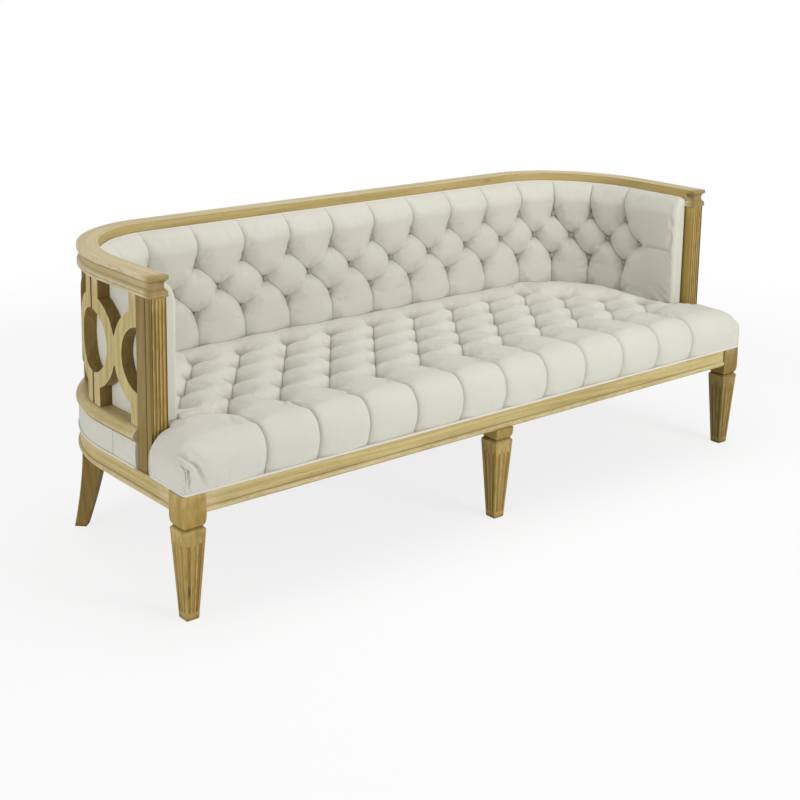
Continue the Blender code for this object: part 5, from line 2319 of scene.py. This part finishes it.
@dataclass
class OutsideCovers:
    """The cloth outside: panels behind the fretwork, and the band under the lower rail."""

    plan: PlanLine
    fretwork: Fretwork
    step: float = 0.007
    swell: float = 0.0045
    inner: float = 0.046
    rounds: int = 400
    band_reach: float = 0.004
    band_set: float = 0.002
    band_puff: float = 0.0022
    band_step: float = 0.0025
    band_rows: int = 13
    seam: float = -0.055
    seam_dip: float = 0.0022
    seam_width: float = 0.0035
    # painted shade: darkness of the thin line in the seam's dip
    seam_shade: float = 0.85
    pucker: float = 0.0009
    pucker_reach: float = 0.045
    piping_radius: float = 0.0032

    def panel_grid(self) -> tuple[Array, Array, Array]:
        """Stations, heights and swelling of the panels, held flat behind the splats.

        Returns:
            The stations, the heights, and the swelling of each vertex.
        """
        fret = self.fretwork
        bottom, top = low("outside_panel_back").z, high("outside_panel_back").z
        count = int(2 * fret.reach / self.step)
        station = np.linspace(-fret.reach, fret.reach, count + 1)
        z = np.linspace(bottom, top, int((top - bottom) / self.step) + 1)
        axis = np.round((station + fret.reach) / fret.pitch) * fret.pitch - fret.reach
        across = np.abs(station - axis)[None]
        apart = np.hypot(across, (z - (bottom + top) / 2)[:, None])
        outer = fret.pitch / 2 + fret.lap
        bar = (across >= fret.gap / 2) & (across <= fret.gap / 2 + fret.bar)
        held = (apart >= outer - fret.ring_width) & ((apart <= outer) | bar)
        held[[0, -1]] = True
        held[:, [0, -1]] = True
        puff = np.zeros(held.shape)
        for _ in range(self.rounds):
            edge = np.pad(puff, 1, mode="edge")
            near = edge[:-2, 1:-1] + edge[2:, 1:-1] + edge[1:-1, :-2] + edge[1:-1, 2:]
            puff = np.where(held, 0.0, near / 4 + 1.0)
        return station, z, self.swell * np.sqrt(puff / puff.max())

    def strip(self, name: str, reach: Array, inset: Array, z: Array) -> Obj:
        """A padded strip of cloth with a flat back.

        Args:
            name: the piece's name.
            reach: its stations.
            inset: the inset of its face at each height and station.
            z: its heights, from the bottom up.

        Returns:
            The strip.
        """
        face = self.plan.at(reach[None], inset, z[:, None])
        rear = self.plan.at(reach[None], self.inner, z[[-1, 0], None])
        obj = skin(name, np.concatenate([face, rear]).transpose(1, 0, 2))
        finish_cloth(obj, reach[:, None], np.append(z, z[[-1, 0]])[None], 50.0)
        return obj

    def panels(self) -> dict[str, Obj]:
        """The three panels behind the fretwork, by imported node.

        Returns:
            The panels.
        """
        station, z, puff = self.panel_grid()
        face = self.fretwork.inset + self.fretwork.thickness + FIT
        joint = self.plan.centre_x
        spans = {"left": station < -joint, "back": np.abs(station) <= joint}
        spans["right"] = station > joint
        return {
            f"outside_panel_{name}": self.strip(
                f"side_panel_{name}", station[span], face - puff[:, span], z
            )
            for name, span in spans.items()
        }

    def bands(self) -> dict[str, Obj]:
        """The three lengths of padded band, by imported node.

        Returns:
            The lengths of band.
        """
        bottom, top = low("band_back").z, high("band_back").z
        end = self.plan.station_at(high("arm_post_right").y + FIT)
        joint = self.plan.centre_x
        share = np.linspace(0.0, 1.0, self.band_rows)
        full = 1.0 - np.abs(2 * share - 1.0) ** 4
        z = bottom + (top - bottom) * share
        right = np.linspace(joint, end, int((end - joint) / self.band_step))
        made = {}
        back = np.linspace(-joint, joint, 160)
        for name, reach in (("left", -right[::-1]), ("back", back), ("right", right)):
            ripple = 0.0006 * np.sin(reach * 37.0) + 0.0004 * np.sin(reach * 91.0 + 1.0)
            apart = np.abs(reach) - self.plan.station_at(self.seam)
            near = np.exp(-((apart / self.pucker_reach) ** 2))
            ripple += self.pucker * np.cos(apart * 380.0) * near
            ripple -= self.seam_dip * np.exp(-((apart / self.seam_width) ** 2))
            puff = (self.band_puff + ripple[None]) * full[:, None]
            out = self.band_reach - self.band_set + puff
            obj = self.strip(f"cloth_band_{name}", reach, -out, z)
            # painted shade: a thin dark line in the seam's dip
            seam_shading = self.seam_shade * np.exp(-((apart / 0.003) ** 2))
            store(obj, "fold", np.repeat(seam_shading, len(z) + 2))
            made[f"band_{name}"] = obj
        return made

    def build(self, finishes: Finishes) -> list[Obj]:
        """Makes the panels, the band and the piping along its lower edge.

        Args:
            finishes: the materials.

        Returns:
            The covers and the piping.
        """
        covers = self.panels() | self.bands()
        for node, obj in covers.items():
            finishes.cover(obj, node)
        radius = self.piping_radius
        end = self.plan.station_at(high("arm_post_right").y + radius)
        rise = low("band_back").z + radius * 0.9
        path = self.plan.at(self.plan.stations(-end, end, 0.01), -self.band_reach, rise)
        return [*covers.values(), finishes.cover(pipe("band_piping", path, radius))]


@dataclass
class UnderFrame:
    """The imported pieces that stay: deck, bearers, blocks, boards, dust cover and glides."""

    boards: tuple[str, ...] = ("seat_deck", "bearer", "front_brace", "rear_block", "backing_board")

    def build(self, finishes: Finishes) -> list[Obj]:
        """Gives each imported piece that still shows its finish.

        Args:
            finishes: the materials.

        Returns:
            The pieces.
        """
        kinds = dict.fromkeys(self.boards, finishes.plywood)
        kinds |= {"dust_cover": finishes.lining, "glide": finishes.nylon}
        made = []
        for name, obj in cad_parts.items():
            for material in [kinds[kind] for kind in kinds if kind in name]:
                obj.data.materials.clear()
                obj.data.materials.append(material)
                LOG.info("%s: %s", name, material.name)
                made.append(obj)
        return made


# Stage, lamps and camera


@dataclass(frozen=True)
class PhotoCamera:
    """The camera at the reference picture's viewing angle, for a square picture."""

    position: Triple = (-2.6125, -3.03235, 1.5614)
    yaw: float = 0.7004
    pitch: float = 0.1963
    roll: float = 0.0157
    focal_pixels: float = 1452.7
    picture: int = 800
    axis_row: float = 220.0
    sensor: float = 36.0

    def build(self) -> None:
        """Makes the camera and gives it to the scene."""
        forward = Vector((
            math.sin(self.yaw) * math.cos(self.pitch),
            math.cos(self.yaw) * math.cos(self.pitch),
            -math.sin(self.pitch),
        ))
        level = Vector((math.cos(self.yaw), -math.sin(self.yaw), 0.0))
        upright = level.cross(forward)
        right = math.cos(self.roll) * level + math.sin(self.roll) * upright
        up = -math.sin(self.roll) * level + math.cos(self.roll) * upright
        data = bpy.data.cameras.new("camera")
        data.sensor_width = self.sensor
        data.lens = self.focal_pixels / self.picture * self.sensor
        data.shift_y = (self.axis_row - self.picture / 2) / self.picture
        camera = bpy.data.objects.new("camera", data)
        turn = Matrix((right, up, -forward)).transposed().to_4x4()
        camera.matrix_world = Matrix.Translation(self.position) @ turn
        bpy.context.scene.collection.objects.link(camera)
        bpy.context.scene.camera = camera


@dataclass(frozen=True)
class Lamp:
    """One soft rectangular lamp that looks at the sofa."""

    name: str
    position: Triple
    size: float
    watts: float
    target: Triple = (0.0, 0.0, 0.4)

    def build(self) -> None:
        """Makes the lamp."""
        data = bpy.data.lights.new(self.name, "AREA")
        data.energy = self.watts
        data.size = self.size
        lamp = bpy.data.objects.new(self.name, data)
        lamp.location = self.position
        aim = Vector(self.target) - Vector(self.position)
        lamp.rotation_euler = aim.to_track_quat("-Z", "Y").to_euler()
        bpy.context.scene.collection.objects.link(lamp)


@dataclass(frozen=True)
class Studio:
    """A white floor and surround, with soft lamps above and in front."""

    floor: float = 40.0
    shadow_share: float = 0.20
    shadow_near: float = 1.6
    shadow_far: float = 3.2
    surround: float = 0.36
    paint: Rgba = (0.9, 0.9, 0.9, 1.0)
    white: Rgba = (1.0, 1.0, 1.0, 1.0)
    lamps: tuple[Lamp, ...] = (
        Lamp("overhead lamp", (0.1, 0.2, 4.0), 2.6, 64.0),
        Lamp("front lamp", (1.3, -4.9, 2.0), 2.0, 138.0),
        Lamp("side lamp", (-5.0, -0.2, 0.9), 1.6, 66.0),
    )

    def build(self) -> None:
        """Makes the floor, its material, the world and the lamps."""
        half = self.floor / 2
        corners = [(-half, -half, 0.0), (half, -half, 0.0), (half, half, 0.0), (-half, half, 0.0)]
        floor = new_object("floor", np.array(corners), [(0, 1, 2, 3)])
        material, n, shader = new_material("studio floor")
        n.fill(shader, {"Base Color": self.paint, "Roughness": 1.0, "Specular IOR Level": 0.0})
        away = n.add("ShaderNodeVectorMath", {0: n.own_place()}, operation="LENGTH")
        fade = n.ramp(away.outputs["Value"], self.shadow_near, self.shadow_far)
        plain = n.math("MULTIPLY_ADD", fade, self.shadow_share, 1.0 - self.shadow_share)
        seen = n.add("ShaderNodeLightPath").outputs["Is Camera Ray"]
        glow = n.add("ShaderNodeEmission").outputs[0]
        shown = {0: n.math("MULTIPLY", seen, plain), 1: shader.outputs[0], 2: glow}
        mix = n.add("ShaderNodeMixShader", shown).outputs[0]
        n.fill(n.tree.nodes["Material Output"], {"Surface": mix})
        floor.data.materials.append(material)
        world = bpy.data.worlds.new("studio")
        bpy.context.scene.world = world
        world.use_nodes = True
        w = Nodes(world.node_tree)
        dim = w.fill(w.tree.nodes["Background"], {"Color": self.white, "Strength": self.surround})
        white = w.add("ShaderNodeBackground", {"Color": self.white, "Strength": 1.0})
        path = w.add("ShaderNodeLightPath").outputs
        direct = w.math("MAXIMUM", path["Is Camera Ray"], path["Is Glossy Ray"])
        shown = {0: direct, 1: dim.outputs[0], 2: white.outputs[0]}
        blend = w.add("ShaderNodeMixShader", shown).outputs[0]
        w.fill(w.tree.nodes["World Output"], {"Surface": blend})
        for lamp in self.lamps:
            lamp.build()


def main() -> None:
    """Builds the camera, the studio and every piece of the sofa in order."""
    logging.basicConfig(level=logging.INFO, format="%(message)s")
    bpy.context.scene.view_settings.view_transform = "Standard"
    PhotoCamera().build()
    Studio().build()
    finishes = Finishes()
    plan = PlanLine()
    fretwork = Fretwork(plan)
    assemblies = (
        CapRail(plan),
        ArmPosts(),
        fretwork,
        BaseRails(plan),
        Legs(),
        OutsideCovers(plan, fretwork),
        SeatCover(plan),
        InsidePads(plan),
        UnderFrame(),
    )
    for assembly in assemblies:
        made = assembly.build(finishes)
        LOG.info("%s: %d pieces", type(assembly).__name__, len(made))


if __name__ == "__main__":
    main()
